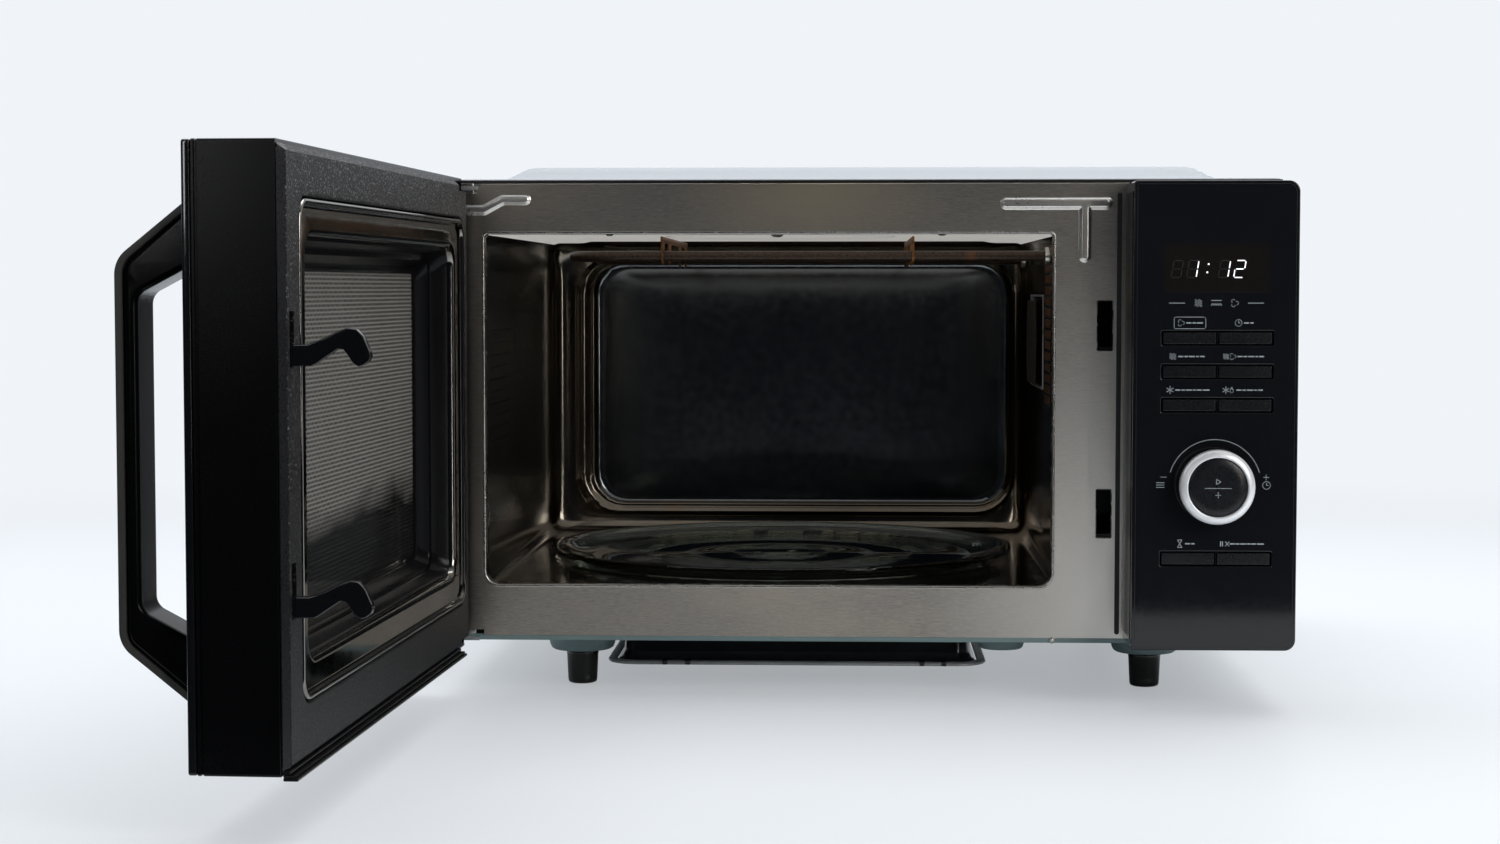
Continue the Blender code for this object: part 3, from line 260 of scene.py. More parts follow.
def liner_steel():
    """Bright-annealed stainless with heat stains, and painted shade that darkens its floor and left
    wall.
    """
    made, tree, shader = nodes_of("liner_stainless")
    cloud = noise(tree, 7, detail=4.0, roughness=0.6)
    stain = ranged(tree, noise(tree, 17, detail=2.0, offset=(4, 4, 9)), 0.0, 0.5, 0.55, 0.75)
    tone = blend_colour(tree, ranged(tree, cloud, 0.0, 1.0), (0.14, 0.124, 0.104),
                        (0.25, 0.225, 0.19))
    tone = blend_colour(tree, stain, tone, (0.30, 0.185, 0.10))
    # Painted shade: the floor around the turntable well and the left wall are darkened in colour.
    tone = patch(tree, tone, (*CENTRE, 0.045), (0.270, 0.270, 0.045), 1.60, (0.070, 0.073, 0.055))
    tone = patch(tree, tone, (-0.238, 0.200, 0.170), (0.030, 0.260, 0.190), 1.20,
                 (0.070, 0.058, 0.048))
    fine = noise(tree, 420, (1, 1, 5), 3.0)
    feed(tree, shader, {"Base Color": tone, "Metallic": 1.0,
                        "Roughness": ranged(tree, cloud, 0.11, 0.18),
                        "Normal": bumped(tree, fine, 0.00002, 0.6)})
    return made


def clear_glass(name, colour, rough, ripple):
    made, tree, shader = nodes_of(name)
    waves = noise(tree, 60, detail=2.0)
    feed(tree, shader, {"Base Color": (*colour, 1), "Roughness": ranged(tree, waves, *rough),
                        "Transmission Weight": 1.0, "IOR": 1.5,
                        "Normal": bumped(tree, waves, ripple, 0.4)})
    return made


def glowing(name, colour, strength):
    made, tree, shader = nodes_of(name)
    shade = ranged(tree, noise(tree, 900, detail=1.0), 0.9, 1.0)
    tint = blend_colour(tree, shade, tuple(c * 0.85 for c in colour), colour)
    feed(tree, shader, {"Base Color": tint, "Emission Color": (*colour, 1),
                        "Emission Strength": strength, "Roughness": 0.5})
    return made


def screen_paint():
    """Grey enamel of the perforated sheet, with painted shade along its bottom."""
    made, tree, shader = nodes_of("perforated_sheet")
    wander = calculate(tree, "MULTIPLY", noise(tree, 30, (0.3, 1, 1), 3.0), 0.05)
    level = calculate(tree, "ADD", position(tree, "Z"), wander)
    grey = blend_colour(tree, noise(tree, 300), (0.31, 0.30, 0.274), (0.41, 0.395, 0.362))
    # Painted shade: below a wavering height the sheet is painted nearly black.
    tone = blend_colour(tree, ranged(tree, level, 0.0, 1.0, 0.149, 0.164), (0.012, 0.0125, 0.013),
                        grey)
    feed(tree, shader, {"Base Color": tone, "Roughness": 0.60, "Specular IOR Level": 0.12})
    return made


STEEL = brushed_steel()
LINER_STEEL = liner_steel()
TEXTURED = textured_plastic()
SHEATH = heat_tinted()
POLISHED = finish("polished_stainless", (0.20, 0.19, 0.174), (0.28, 0.265, 0.245), (0.07, 0.11),
                  1.0, 200, bump=0.00001)
BACK_STEEL = finish("back_wall_stainless", (0.165, 0.178, 0.188), (0.215, 0.228, 0.238),
                    (0.12, 0.19), 1.0, 200, smudge=8)
LIP_STEEL = finish("folded_edge_steel", (0.50, 0.475, 0.44), (0.60, 0.575, 0.54), (0.24, 0.30), 1.0,
                   120)
ZINC = finish("zinc_sheet", (0.50, 0.51, 0.52), (0.64, 0.65, 0.66), (0.34, 0.48), 1.0, 60,
              bump=0.00003)
EDGE = finish("bare_zinc_edge", (0.42, 0.43, 0.44), (0.54, 0.55, 0.56), (0.34, 0.44), 0.35, 90)
TEAL = finish("teal_grey_paint", (0.155, 0.225, 0.235), (0.180, 0.255, 0.265), (0.36, 0.46),
              grain=900, bump=0.00004)
PALE = finish("pale_grey_paint", (0.42, 0.445, 0.48), (0.46, 0.485, 0.52), (0.50, 0.60),
              grain=900, bump=0.00004, specular=0.35)
GLOSS = finish("gloss_black_plastic", (0.0062, 0.0068, 0.0084), (0.0088, 0.0095, 0.0118),
               (0.045, 0.10), grain=500)
DEEP = finish("deep_black_moulding", (0.0026, 0.0027, 0.0032), (0.0040, 0.0041, 0.0048),
              (0.18, 0.26), grain=900, bump=0.00001, specular=0.15)
# Beads: a much lighter copy of the plate's steel, a painted highlight on the embossed beads.
BEAD_HIGHLIGHT = finish("bead_painted_highlight", (0.76, 0.73, 0.68), (0.90, 0.87, 0.82), (0.26, 0.34), 1.0,
                    grain=600)
# Ceiling: a much lighter copy of the liner steel that also glows; painted light standing in for the
# light the ceiling catches.
GLOWING_CEILING = finish("ceiling_painted_glow", (0.62, 0.60, 0.57), (0.74, 0.72, 0.68), (0.44, 0.54), 0.1,
                 300, glow=0.50)
RUST = finish("heat_browned_steel", (0.11, 0.045, 0.013), (0.27, 0.110, 0.030), (0.35, 0.50), 0.6,
              500)
SATIN = finish("satin_black_plastic", (0.010, 0.0105, 0.012), (0.016, 0.0165, 0.018),
               (0.26, 0.36), grain=1100, bump=0.00003)
BEZEL = finish("blue_black_moulding", (0.0055, 0.006, 0.008), (0.009, 0.0095, 0.0125), (0.24, 0.32),
               grain=700, bump=0.00002, specular=0.35)
MATT = finish("matt_black_plastic", (0.013, 0.013, 0.014), (0.021, 0.021, 0.022), (0.48, 0.62),
              grain=1300, bump=0.00008)
ENAMEL = finish("black_enamel", (0.006, 0.006, 0.007), (0.011, 0.011, 0.012), (0.10, 0.20),
                grain=240, bump=0.00003)
SMOKED = finish("smoked_glass", (0.004, 0.004, 0.005), (0.007, 0.007, 0.008), (0.02, 0.04),
                alpha=0.86)
PANE = finish("inner_pane", (0.010, 0.010, 0.010), (0.014, 0.014, 0.013), (0.02, 0.035),
              specular=0.07, alpha=0.16)
SCREEN = screen_paint()
ALUMINIUM = finish("satin_aluminium", (0.88, 0.90, 0.93), (0.95, 0.96, 0.98), (0.32, 0.40), 0.45,
                   900, (1, 1, 1), 0.00001)
TRIM = finish("grey_trim_strip", (0.062, 0.062, 0.058), (0.082, 0.082, 0.077), (0.38, 0.46),
              0.15, 900, (1, 1, 0.05), 0.00001)
FOOT = finish("foot_plastic", (0.006, 0.006, 0.006), (0.011, 0.011, 0.010), (0.16, 0.28),
              grain=200, bump=0.00004)
BOARD = finish("circuit_board", (0.020, 0.085, 0.040), (0.035, 0.120, 0.060), (0.40, 0.55),
               grain=500)
IRON = finish("laminated_iron", (0.15, 0.15, 0.155), (0.22, 0.22, 0.225), (0.45, 0.60), 0.9, 1.0,
              (30, 30, 900), 0.0001)
MICA = finish("mica_sheet", (0.026, 0.022, 0.016), (0.046, 0.039, 0.029), (0.40, 0.60), grain=160,
              bump=0.00005, specular=0.12)
WHITE = finish("white_plastic", (0.60, 0.59, 0.56), (0.70, 0.69, 0.66), (0.40, 0.52), grain=700,
               bump=0.00004)
HOLE = finish("shadowed_hole", (0.002, 0.002, 0.002), (0.004, 0.004, 0.004), (0.7, 0.9),
              specular=0.1)
TRAY = clear_glass("tray_glass", (0.86, 0.93, 0.85), (0.01, 0.04), 0.00008)
DISPLAY = finish("display_filter", (0.010, 0.0085, 0.0075), (0.013, 0.011, 0.010), (0.05, 0.09))
PRINT = finish("grey_print", (0.34, 0.39, 0.42), (0.42, 0.48, 0.51), (0.45, 0.60))
LIT = glowing("lit_segment", (0.93, 0.96, 1.0), 1.2)
UNLIT = finish("unlit_segment", (0.011, 0.0098, 0.0096), (0.0135, 0.012, 0.012), (0.3, 0.4))


# ------------------------------------------------------------------ mesh helpers
def placed(name, data):
    """New object, linked into the scene."""
    thing = bpy.data.objects.new(name, data)
    bpy.context.scene.collection.objects.link(thing)
    return thing


def publish(name, mesh, finish_of, body="root", replaces=(), sharp=32, flat=False):
    """Make a piece of one or more meshes, shade it and hand it to its body."""
    if isinstance(mesh, list):
        mesh = merge(name, *mesh)
    thing = placed(name, mesh)
    mesh.materials.clear()
    mesh.materials.append(finish_of)
    mesh.shade_smooth()
    mesh.set_sharp_from_angle(angle=math.radians(sharp))
    thing.matrix_world = DOOR if body in ("door", "latch") else CAB
    if flat:
        thing.modifiers.new("flat_faces", "WEIGHTED_NORMAL").keep_sharp = True
    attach(thing, body)
    if replaces:
        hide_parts(*replaces)
    return thing


def cleaned(mesh, weld=0.0):
    """Weld points nearer than a distance and turn all faces outward."""
    shape = bmesh.new()
    shape.from_mesh(mesh)
    if weld:
        bmesh.ops.remove_doubles(shape, verts=shape.verts, dist=weld)
    bmesh.ops.recalc_face_normals(shape, faces=shape.faces)
    shape.to_mesh(mesh)
    shape.free()
    return mesh


def mesh_of(name, verts, faces):
    """Mesh with all its faces turned outward."""
    mesh = bpy.data.meshes.new(name)
    mesh.from_pydata([tuple(v) for v in verts], [], faces)
    return cleaned(mesh)


def applied(thing):
    """Mesh of a helper object with its modifiers; the helper is removed."""
    depsgraph = bpy.context.evaluated_depsgraph_get()
    mesh = bpy.data.meshes.new_from_object(thing.evaluated_get(depsgraph))
    bpy.data.objects.remove(thing)
    return mesh


def curve_mesh(curve, lines, cyclic):
    """Mesh of a bevelled curve that runs through lines of points."""
    for line in lines:
        spline = curve.splines.new("POLY")
        spline.points.add(len(line) - 1)
        for point, place in zip(spline.points, line):
            point.co = (*place, 0)[:3] + (1,)
        spline.use_cyclic_u = cyclic
    mesh = applied(placed(curve.name, curve))
    bpy.data.curves.remove(curve)
    return cleaned(mesh, 0.000005)


def merge(name, *meshes):
    """One mesh out of several."""
    shape = bmesh.new()
    for mesh in meshes:
        shape.from_mesh(mesh)
        bpy.data.meshes.remove(mesh)
    joined = bpy.data.meshes.new(name)
    shape.to_mesh(joined)
    shape.free()
    return joined


def quads(first, second, count, closed=True):
    """Faces between two rows of points; the rows start at the given indices."""
    return [(first + index, first + (index + 1) % count, second + (index + 1) % count,
             second + index) for index in range(count if closed else count - 1)]


def skin(name, rings, cap_last=False, loop=False):
    """Surface through rings of equal point counts; loop joins the last ring to the first."""
    count = len(rings[0])
    verts = [point for ring in rings for point in ring]
    faces = []
    pairs = list(zip(range(len(rings) - 1), range(1, len(rings))))
    if loop:
        pairs.append((len(rings) - 1, 0))
    for first, second in pairs:
        faces += quads(first * count, second * count, count)
    if cap_last:
        start = (len(rings) - 1) * count
        faces.append(tuple(range(start, start + count)))
    return mesh_of(name, verts, faces)


def toward(x, z, radius, degrees):
    """Point at a distance and an angle from another one."""
    angle = math.radians(degrees)
    return x + radius * math.cos(angle), z + radius * math.sin(angle)


def arc(x, z, radius, start, end, steps):
    return [toward(x, z, radius, start + (end - start) * i / steps) for i in range(steps + 1)]


def corner_ring(rect, radii, steps=6):
    """Rounded rectangle, anticlockwise from the bottom right; radii as bl, br, tr, tl."""
    x0, z0, x1, z1 = rect
    if not isinstance(radii, tuple):
        radii = (radii,) * 4
    bl, br, tr, tl = radii
    points = []
    for cx, cz, radius, start in ((x1 - br, z0 + br, br, -90), (x1 - tr, z1 - tr, tr, 0),
                                  (x0 + tl, z1 - tl, tl, 90), (x0 + bl, z0 + bl, bl, 180)):
        points += arc(cx, cz, radius, start, start + 90, steps)
    return points


def circle(x, z, radius, count):
    return [(x + radius * math.cos(a), z + radius * math.sin(a))
            for a in np.linspace(0, 2 * math.pi, count + 1)[:-1]]


def grown(rect, by):
    return (rect[0] - by, rect[1] - by, rect[2] + by, rect[3] + by)


def profile_ring(rect, radii, profile, steps):
    """Rings of a rounded rectangle for a profile of (outward offset, depth)."""
    rings = []
    for out, depth in profile:
        wide = tuple(max(r + out, 0.0002) for r in
                     (radii if isinstance(radii, tuple) else (radii,) * 4))
        rings.append([(x, depth, z) for x, z in corner_ring(grown(rect, out), wide, steps)])
    return rings


TURN = {"xy": Matrix.Identity(4), "xz": Matrix.Rotation(math.pi / 2, 4, "X"),
        "yz": Matrix.Rotation(math.pi / 2, 4, "Z") @ Matrix.Rotation(math.pi / 2, 4, "X")}


def plate_mesh(name, rings, thickness, bevel, plane="xz", at=(0, 0, 0), segments=2):
    """Flat plate with an outline and holes; its edges are rounded by bevel."""
    curve = bpy.data.curves.new(name, "CURVE")
    curve.dimensions = "2D"
    curve.fill_mode = "BOTH"
    curve.extrude = thickness / 2 - bevel
    curve.bevel_depth = bevel
    curve.bevel_resolution = segments - 1
    curve.offset = -bevel
    mesh = curve_mesh(curve, rings, True)
    mesh.transform(Matrix.Translation(at) @ TURN[plane])
    return mesh


def block_mesh(name, low, high, bevel, segments=3):
    """Box with rounded edges."""
    shape = bmesh.new()
    bmesh.ops.create_cube(shape, size=1.0)
    size = Vector(high) - Vector(low)
    bmesh.ops.scale(shape, vec=size, verts=shape.verts)
    bmesh.ops.translate(shape, vec=(Vector(high) + Vector(low)) / 2, verts=shape.verts)
    bmesh.ops.bevel(shape, geom=shape.edges[:], offset=bevel, segments=segments, profile=0.5,
                    affect="EDGES", clamp_overlap=True)
    mesh = bpy.data.meshes.new(name)
    shape.to_mesh(mesh)
    shape.free()
    return mesh


def lathe_mesh(name, profile, steps, axis="z", at=(0, 0, 0)):
    """Closed profile of (radius, height) turned about an axis."""
    rings = []
    for radius, height in profile:
        ring = []
        for index in range(steps):
            angle = 2 * math.pi * index / steps
            ring.append((max(radius, 0.00001) * math.cos(angle),
                         max(radius, 0.00001) * math.sin(angle), height))
        rings.append(ring)
    mesh = skin(name, rings, loop=True)
    turn = {"z": Matrix.Identity(4), "y": Matrix.Rotation(math.pi / 2, 4, "X"),
            "x": Matrix.Rotation(math.pi / 2, 4, "Y")}[axis]
    mesh.transform(Matrix.Translation(at) @ turn)
    return mesh


def tube_mesh(name, points, radius):
    """Closed round bar along a line of points."""
    curve = bpy.data.curves.new(name, "CURVE")
    curve.dimensions = "3D"
    curve.bevel_depth = radius
    curve.bevel_resolution = 4
    curve.use_fill_caps = True
    return curve_mesh(curve, [points], False)


def smooth(value, low, high):
    """0 below low, 1 above high, with an even bend between."""
    t = np.clip((value - low) / (high - low), 0.0, 1.0)
    return t * t * (3 - 2 * t)


def screw_mesh(name, at, radius, facing):
    """Pan-head screw with a cross recess."""
    head = lathe_mesh(name, [(0.0, 0.0016), (radius * 0.45, 0.0015), (radius * 0.85, 0.0010),
                             (radius, 0.0004), (radius, 0.0), (0.0, 0.0)], 24)
    bars = [block_mesh(name + "_bar", (-radius * a, -radius * b, 0.00135),
                       (radius * a, radius * b, 0.00170), 0.0001, 1)
            for a, b in ((0.62, 0.13), (0.13, 0.62))]
    mesh = merge(name, head, *bars)
    angle = {"-y": math.pi / 2, "y": -math.pi / 2, "-z": math.pi}[facing]
    mesh.transform(Matrix.Translation(at) @ Matrix.Rotation(angle, 4, "X"))
    return mesh


def thicken(thing, thickness):
    """Turn a surface into sheet metal, inward of its faces."""
    shell = thing.modifiers.new("sheet", "SOLIDIFY")
    shell.thickness = thickness
    shell.offset = -1.0


def repaint(finish_of, *nodes, bevel=0.0):
    """Give carried-over CAD nodes their material and, where wanted, softened edges."""
    for node in nodes:
        thing = frame["nodes"][node]
        thing.data.materials.clear()
        thing.data.materials.append(finish_of)
        if bevel:
            welded = thing.modifiers.new("weld", "WELD")
            welded.merge_threshold = 0.00001
            edge = thing.modifiers.new("edges", "BEVEL")
            edge.width = bevel
            edge.segments = 2
            edge.limit_method = "ANGLE"
            edge.angle_limit = math.radians(40)


# ------------------------------------------------------------------ oven liner
def dense_ring(rect, radius, across, up, corner):
    """Rounded rectangle with evenly spaced points, and the side of each (-1 in a corner)."""
    x0, z0, x1, z1 = rect
    points, sides = [], []
    runs = (((x0 + radius, z0), (x1 - radius, z0), across, -90, (x1 - radius, z0 + radius)),
            ((x1, z0 + radius), (x1, z1 - radius), up, 0, (x1 - radius, z1 - radius)),
            ((x1 - radius, z1), (x0 + radius, z1), across, 90, (x0 + radius, z1 - radius)),
            ((x0, z1 - radius), (x0, z0 + radius), up, 180, (x0 + radius, z0 + radius)))
    for side, (start, end, count, turn, centre) in enumerate(runs):
        for index in range(count):
            t = index / count
            points.append((start[0] + (end[0] - start[0]) * t, start[1] + (end[1] - start[1]) * t))
            sides.append(side)
        points += arc(*centre, radius, turn, turn + 90, corner)[:-1]
        sides += [-1] * corner
    return points, sides


def pressed_field(u, v, outer, inner):
    """0 outside the outer rectangle, 1 inside the inner one, sloping evenly between."""
    gaps = []
    for value, low, high in ((u, 0, 2), (v, 1, 3)):
        gaps.append((value - outer[low]) / (inner[low] - outer[low]))
        gaps.append((outer[high] - value) / (outer[high] - inner[high]))
    t = min(1.0, max(0.0, min(gaps)))
    return t * t * (3 - 2 * t) * 0.35 + t * 0.65


def make_liner():
    across, up, corner = 72, 44, 6
    rings = []
    bend = 0.0095
    for y in np.linspace(0.0016, LINER_BACK - bend, 60):
        points, sides = dense_ring(LINER, LINER_CORNER, across, up, corner)
        ring = []
        for (x, z), side in zip(points, sides):
            dx = dz = 0.0
            if side == 0:
                far = math.hypot(x - CENTRE[0], y - CENTRE[1])
                dz = -WELL_DEPTH * (1 - float(smooth(far, WELL_RADIUS - 0.006, WELL_RADIUS)))
            elif side == 3:
                dx = -0.0085 * pressed_field(y, z, (0.026, 0.076, 0.350, 0.274),
                                             (0.056, 0.117, 0.195, 0.228))
            elif side == 2:
                dz = 0.0016 * pressed_field(x, y, (-0.205, 0.030, 0.100, 0.345),
                                            (-0.196, 0.040, 0.091, 0.335))
            elif side == 1:
                dx = 0.0030 * pressed_field(y, z, (0.165, 0.082, 0.352, 0.268),
                                            (0.180, 0.100, 0.338, 0.255))
            ring.append((x + dx, y, z + dz))
        rings.append(ring)
    for step in range(1, 8):
        angle = math.radians(90 * step / 7)
        inset = bend * (1 - math.cos(angle))
        y = LINER_BACK - bend + bend * math.sin(angle)
        points, _ = dense_ring(grown(LINER, -inset), LINER_CORNER + inset * 1.6, across, up, corner)
        rings.append([(x, y, z) for x, z in points])
    relief = ((0.0, 0.0000), (0.10, -0.0006), (0.22, -0.0026), (0.36, -0.0038), (0.48, -0.0030),
              (0.60, -0.0012), (0.70, -0.0004), (0.80, -0.0012), (0.88, -0.0006), (0.94, 0.0012),
              (1.0, 0.0026))
    for t, forward in relief:
        rect = tuple(a + (b - a) * t for a, b in zip(BACK_BEAD, BACK_FIELD))
        points, _ = dense_ring(rect, 0.030 - 0.008 * t, across, up, corner)
        rings.append([(x, LINER_BACK + forward, z) for x, z in points])
    middle = ((BACK_FIELD[0] + BACK_FIELD[2]) / 2, (BACK_FIELD[1] + BACK_FIELD[3]) / 2)
    points, _ = dense_ring(BACK_FIELD, 0.022, across, up, corner)
    for share in (0.985, 0.96, 0.92, 0.87, 0.8, 0.7, 0.6, 0.45, 0.3, 0.15, 0.02):
        bulge = 0.0018 * (1 - share ** 5)
        rings.append([(middle[0] + (x - middle[0]) * share, LINER_BACK + 0.0032 - bulge,
                       middle[1] + (z - middle[1]) * share) for x, z in points])
    mesh = skin("cavity_liner", rings, cap_last=True)
    thing = publish("cavity_liner", mesh, LINER_STEEL,
                    replaces=("cavity",), sharp=50)
    mesh.materials.append(BACK_STEEL)
    mesh.materials.append(GLOWING_CEILING)
    for face in mesh.polygons:
        in_field = (BACK_FIELD[0] < face.center.x < BACK_FIELD[2]
                    and BACK_FIELD[1] < face.center.z < BACK_FIELD[3])
        if in_field and face.center.y > LINER_BACK - 0.0006:
            face.material_index = 1
        # Ceiling faces get the glowing, painted-light finish.
        elif face.center.z > LINER[3] - 0.0015 and face.center.y < LINER_BACK - 0.030:
            face.material_index = 2
    thicken(thing, 0.0008)
    facing_in = Vector((LINER[0] + 0.1, 0.1, (LINER[1] + LINER[3]) / 2))
    first = mesh.polygons[0]
    if first.normal.dot(facing_in - first.center) < 0:
        mesh.flip_normals()


def dots_mesh(name, places, normal, radius):
    """Small round or slotted holes seen on a wall, each a shallow dark cup."""
    sides = 8
    u = Vector((0, 1, 0)) if abs(normal.x) > 0.5 else Vector((1, 0, 0))
    v = normal.cross(u).normalized()
    verts, faces = [], []
    for place, stretch in places:
        start = len(verts)
        for ring, lift in ((1.0, 0.00004), (0.86, 0.00016), (0.80, 0.00004)):
            for index in range(sides):
                angle = 2 * math.pi * (index + 0.5) / sides
                across = u * math.cos(angle) * radius * ring
                along = v * math.sin(angle) * radius * ring * stretch
                verts.append(Vector(place) + (across + along) + normal * lift)
        for ring in (start, start + sides):
            faces += quads(ring, ring + sides, sides)
        faces.append(tuple(start + 2 * sides + index for index in range(sides)))
    return mesh_of(name, verts, faces)


def make_liner_holes():
    wall = LINER[0] - 0.0085
    left = [((wall, 0.080 + column * 0.0090, 0.150 + row * 0.0080), 0.8)
            for column in range(12) for row in range(10)]
    right = [((LINER[2], 0.112 + column * 0.0095, 0.176 + row * 0.0072), 2.2)
             for column in range(5) for row in range(13)]
    holes = dots_mesh("left_holes", left, Vector((1, 0, 0)), 0.0009)
    publish("left_wall_perforations", holes, HOLE)
    holes = dots_mesh("right_holes", right, Vector((-1, 0, 0)), 0.0014)
    publish("right_wall_perforations", holes, RUST)
    screws = [screw_mesh("ceiling_screw", (CENTRE[0], 0.100, LINER[3] + 0.0012), 0.0040, "-z")]
    for x, y in ((CENTRE[0] - 0.105, 0.060), (CENTRE[0] + 0.105, 0.060)):
        screws.append(screw_mesh("ceiling_screw", (x, y, LINER[3] + 0.0012), 0.0028, "-z"))
    publish("ceiling_screws", screws, LIP_STEEL)


# ------------------------------------------------------------------ front plate
def relief_mesh(name, lines, half_width, edge, height):
    """Embossed bead that follows polylines on the plate's face."""
    cell = 0.0006
    points = np.array([p for line in lines for p in line])
    low, high = points.min(0) - half_width - cell, points.max(0) + half_width + cell
    columns = int((high[0] - low[0]) / cell) + 1
    rows = int((high[1] - low[1]) / cell) + 1
    xs = low[0] + np.arange(columns) * cell
    zs = low[1] + np.arange(rows) * cell
    grid_x, grid_z = np.meshgrid(xs, zs)
    away = np.full(grid_x.shape, 9.0)
    for line in lines:
        for a, b in zip(line, line[1:]):
            a, b = np.array(a), np.array(b)
            run = b - a
            from_a = grid_x - a[0], grid_z - a[1]
            t = np.clip((from_a[0] * run[0] + from_a[1] * run[1]) / (run @ run), 0, 1)
            away = np.minimum(away, np.hypot(from_a[0] - t * run[0], from_a[1] - t * run[1]))
    raised = height * smooth(half_width - away, 0.0, edge)
    verts, faces, index = [], [], {}

    def vert(row, column):
        key = (row, column)
        if key not in index:
            index[key] = len(verts)
            verts.append((xs[column], 0.00003 - raised[row, column], zs[row]))
        return index[key]

    for row in range(rows - 1):
        for column in range(columns - 1):
            if raised[row:row + 2, column:column + 2].max() > 0:
                faces.append((vert(row, column), vert(row, column + 1), vert(row + 1, column + 1),
                              vert(row + 1, column)))
    mesh = mesh_of(name, verts, faces)
    if mesh.polygons[0].normal.y > 0:
        mesh.flip_normals()
    return mesh


def make_front_plate():
    low, high = extent("front_plate")
    notch = 0.0265
    notch_x = low.x + notch
    edge = [(low.x, low.z + 0.004), (notch_x, low.z + 0.004), (notch_x, low.z), (high.x, low.z),
            (high.x, high.z), (notch_x, high.z), (notch_x - 0.003, high.z - 0.003),
            (notch_x - 0.003, high.z - 0.006), (low.x, high.z - 0.006)]
    mouth = corner_ring(grown(MOUTH, 0.0016), tuple(r + 0.0016 for r in MOUTH_RADII))
    slots = [corner_ring(slot, 0.0008, 3) for slot in SLOTS]
    sheet = plate_mesh("plate_sheet", [edge, mouth, *slots], SHEET, 0.0002, at=(0, SHEET / 2, 0))
    t_lines = [[(0.0891, 0.3008), (0.1490, 0.3008)], [(0.1364, 0.3008), (0.1364, 0.2690)]]
    t_bead = relief_mesh("t_bead", t_lines, 0.0040, 0.0024, 0.0016)
    z_lines = [[(-0.2420, 0.2972), (-0.2285, 0.2972), (-0.2170, 0.3034), (-0.2030, 0.3034)]]
    z_bead = relief_mesh("z_bead", z_lines, 0.0034, 0.0022, 0.0015)
    publish("front_plate_sheet", sheet, STEEL, replaces=("front_plate",),
            sharp=40, flat=True)
    # The beads are painted lighter than the plate they are pressed in: painted highlight.
    publish("front_plate_beads", [t_bead, z_bead], BEAD_HIGHLIGHT,
            sharp=60)
    lip = profile_ring(MOUTH, MOUTH_RADII,
                       ((0.0019, 0.0002), (0.0016, -0.0002), (0.0011, -0.0004), (0.0005, -0.0003),
                        (0.0001, 0.0001), (0.0, 0.0009), (0.0, 0.0070), (0.0010, 0.0075),
                        (0.0012, 0.0012)), 8)
    publish("mouth_folded_edge", skin("mouth_folded_edge", lip, loop=True), LIP_STEEL,
            sharp=60)
    # Matt black strip on the seam between the front plate and the panel: painted shade of the gap.
    seam = plate_mesh("seam", [corner_ring((0.1557, 0.0390, 0.1586, 0.3072), 0.0014, 6)], 0.0010,
                      0.0002, at=(0, -0.0001, 0))
    publish("panel_seam_shade", seam, MATT, flat=True)
    rims = [skin("slot_rim", profile_ring(slot, 0.0008, (
        (0.0003, 0.0002), (0.0002, -0.0003), (-0.0002, -0.0003), (-0.0005, 0.0002),
        (-0.0005, 0.0030), (0.0001, 0.0030)), 3), loop=True) for slot in SLOTS]
    publish("latch_slot_rims", rims, LIP_STEEL)


# ------------------------------------------------------------------ cabinet
def make_wrapper():
    low, high = extent("cabinet_wrapper")
    base_top = 0.3160
    radius = 0.0045
    profile = [(low.x, low.z)]
    profile += [(low.x, z) for z in np.linspace(low.z + 0.02, base_top - radius, 14)]
    profile += arc(low.x + radius, base_top - radius, radius, 180, 90, 6)[1:]
    profile += [(x, base_top) for x in np.linspace(low.x + radius, high.x - radius, 112)[1:]]
    profile += arc(high.x - radius, base_top - radius, radius, 90, 0, 6)[1:]
    profile += [(high.x, z) for z in np.linspace(base_top - radius, low.z + 0.02, 14)[1:]]
    profile.append((high.x, low.z))
    rows = [low.y, low.y + 0.0006, low.y + 0.0016,
            *np.linspace(low.y + 0.004, high.y - 0.002, 84), high.y]
    verts, faces = [], []
    rise = high.z - base_top
    for index, y in enumerate(rows):
        tuck = 0.0007 if index == 0 else 0.0002 if index == 1 else 0.0
        for x, z in profile:
            lift = 0.0
            if z >= base_top - 0.0001:
                lift = rise * pressed_field(x, y, (-0.2215, 0.0280, 0.2215, 0.3680),
                                            (-0.2040, 0.0455, 0.2040, 0.3505))
            nx = x - math.copysign(tuck, x) if abs(x) > 0.25 else x
            verts.append((nx, y, z + lift - (tuck if z > 0.31 else 0)))
    count = len(profile)
    for row in range(len(rows) - 1):
        faces += quads(row * count, (row + 1) * count, count, closed=False)
    mesh = mesh_of("cabinet_cover", verts, faces)
    top = mesh.polygons[count // 2 + (count - 1) * 40]
    if top.normal.z < 0:
        mesh.flip_normals()
    thing = publish("cabinet_cover", mesh, PALE,
                    replaces=("cabinet_wrapper",), sharp=50)
    thicken(thing, 0.0009)
    rim = block_mesh("cover_front_rim", (-0.2550, 0.0016, 0.3132), (0.2550, 0.0030, 0.3152), 0.0003)
    publish("cover_front_rim", rim, SATIN, flat=True)


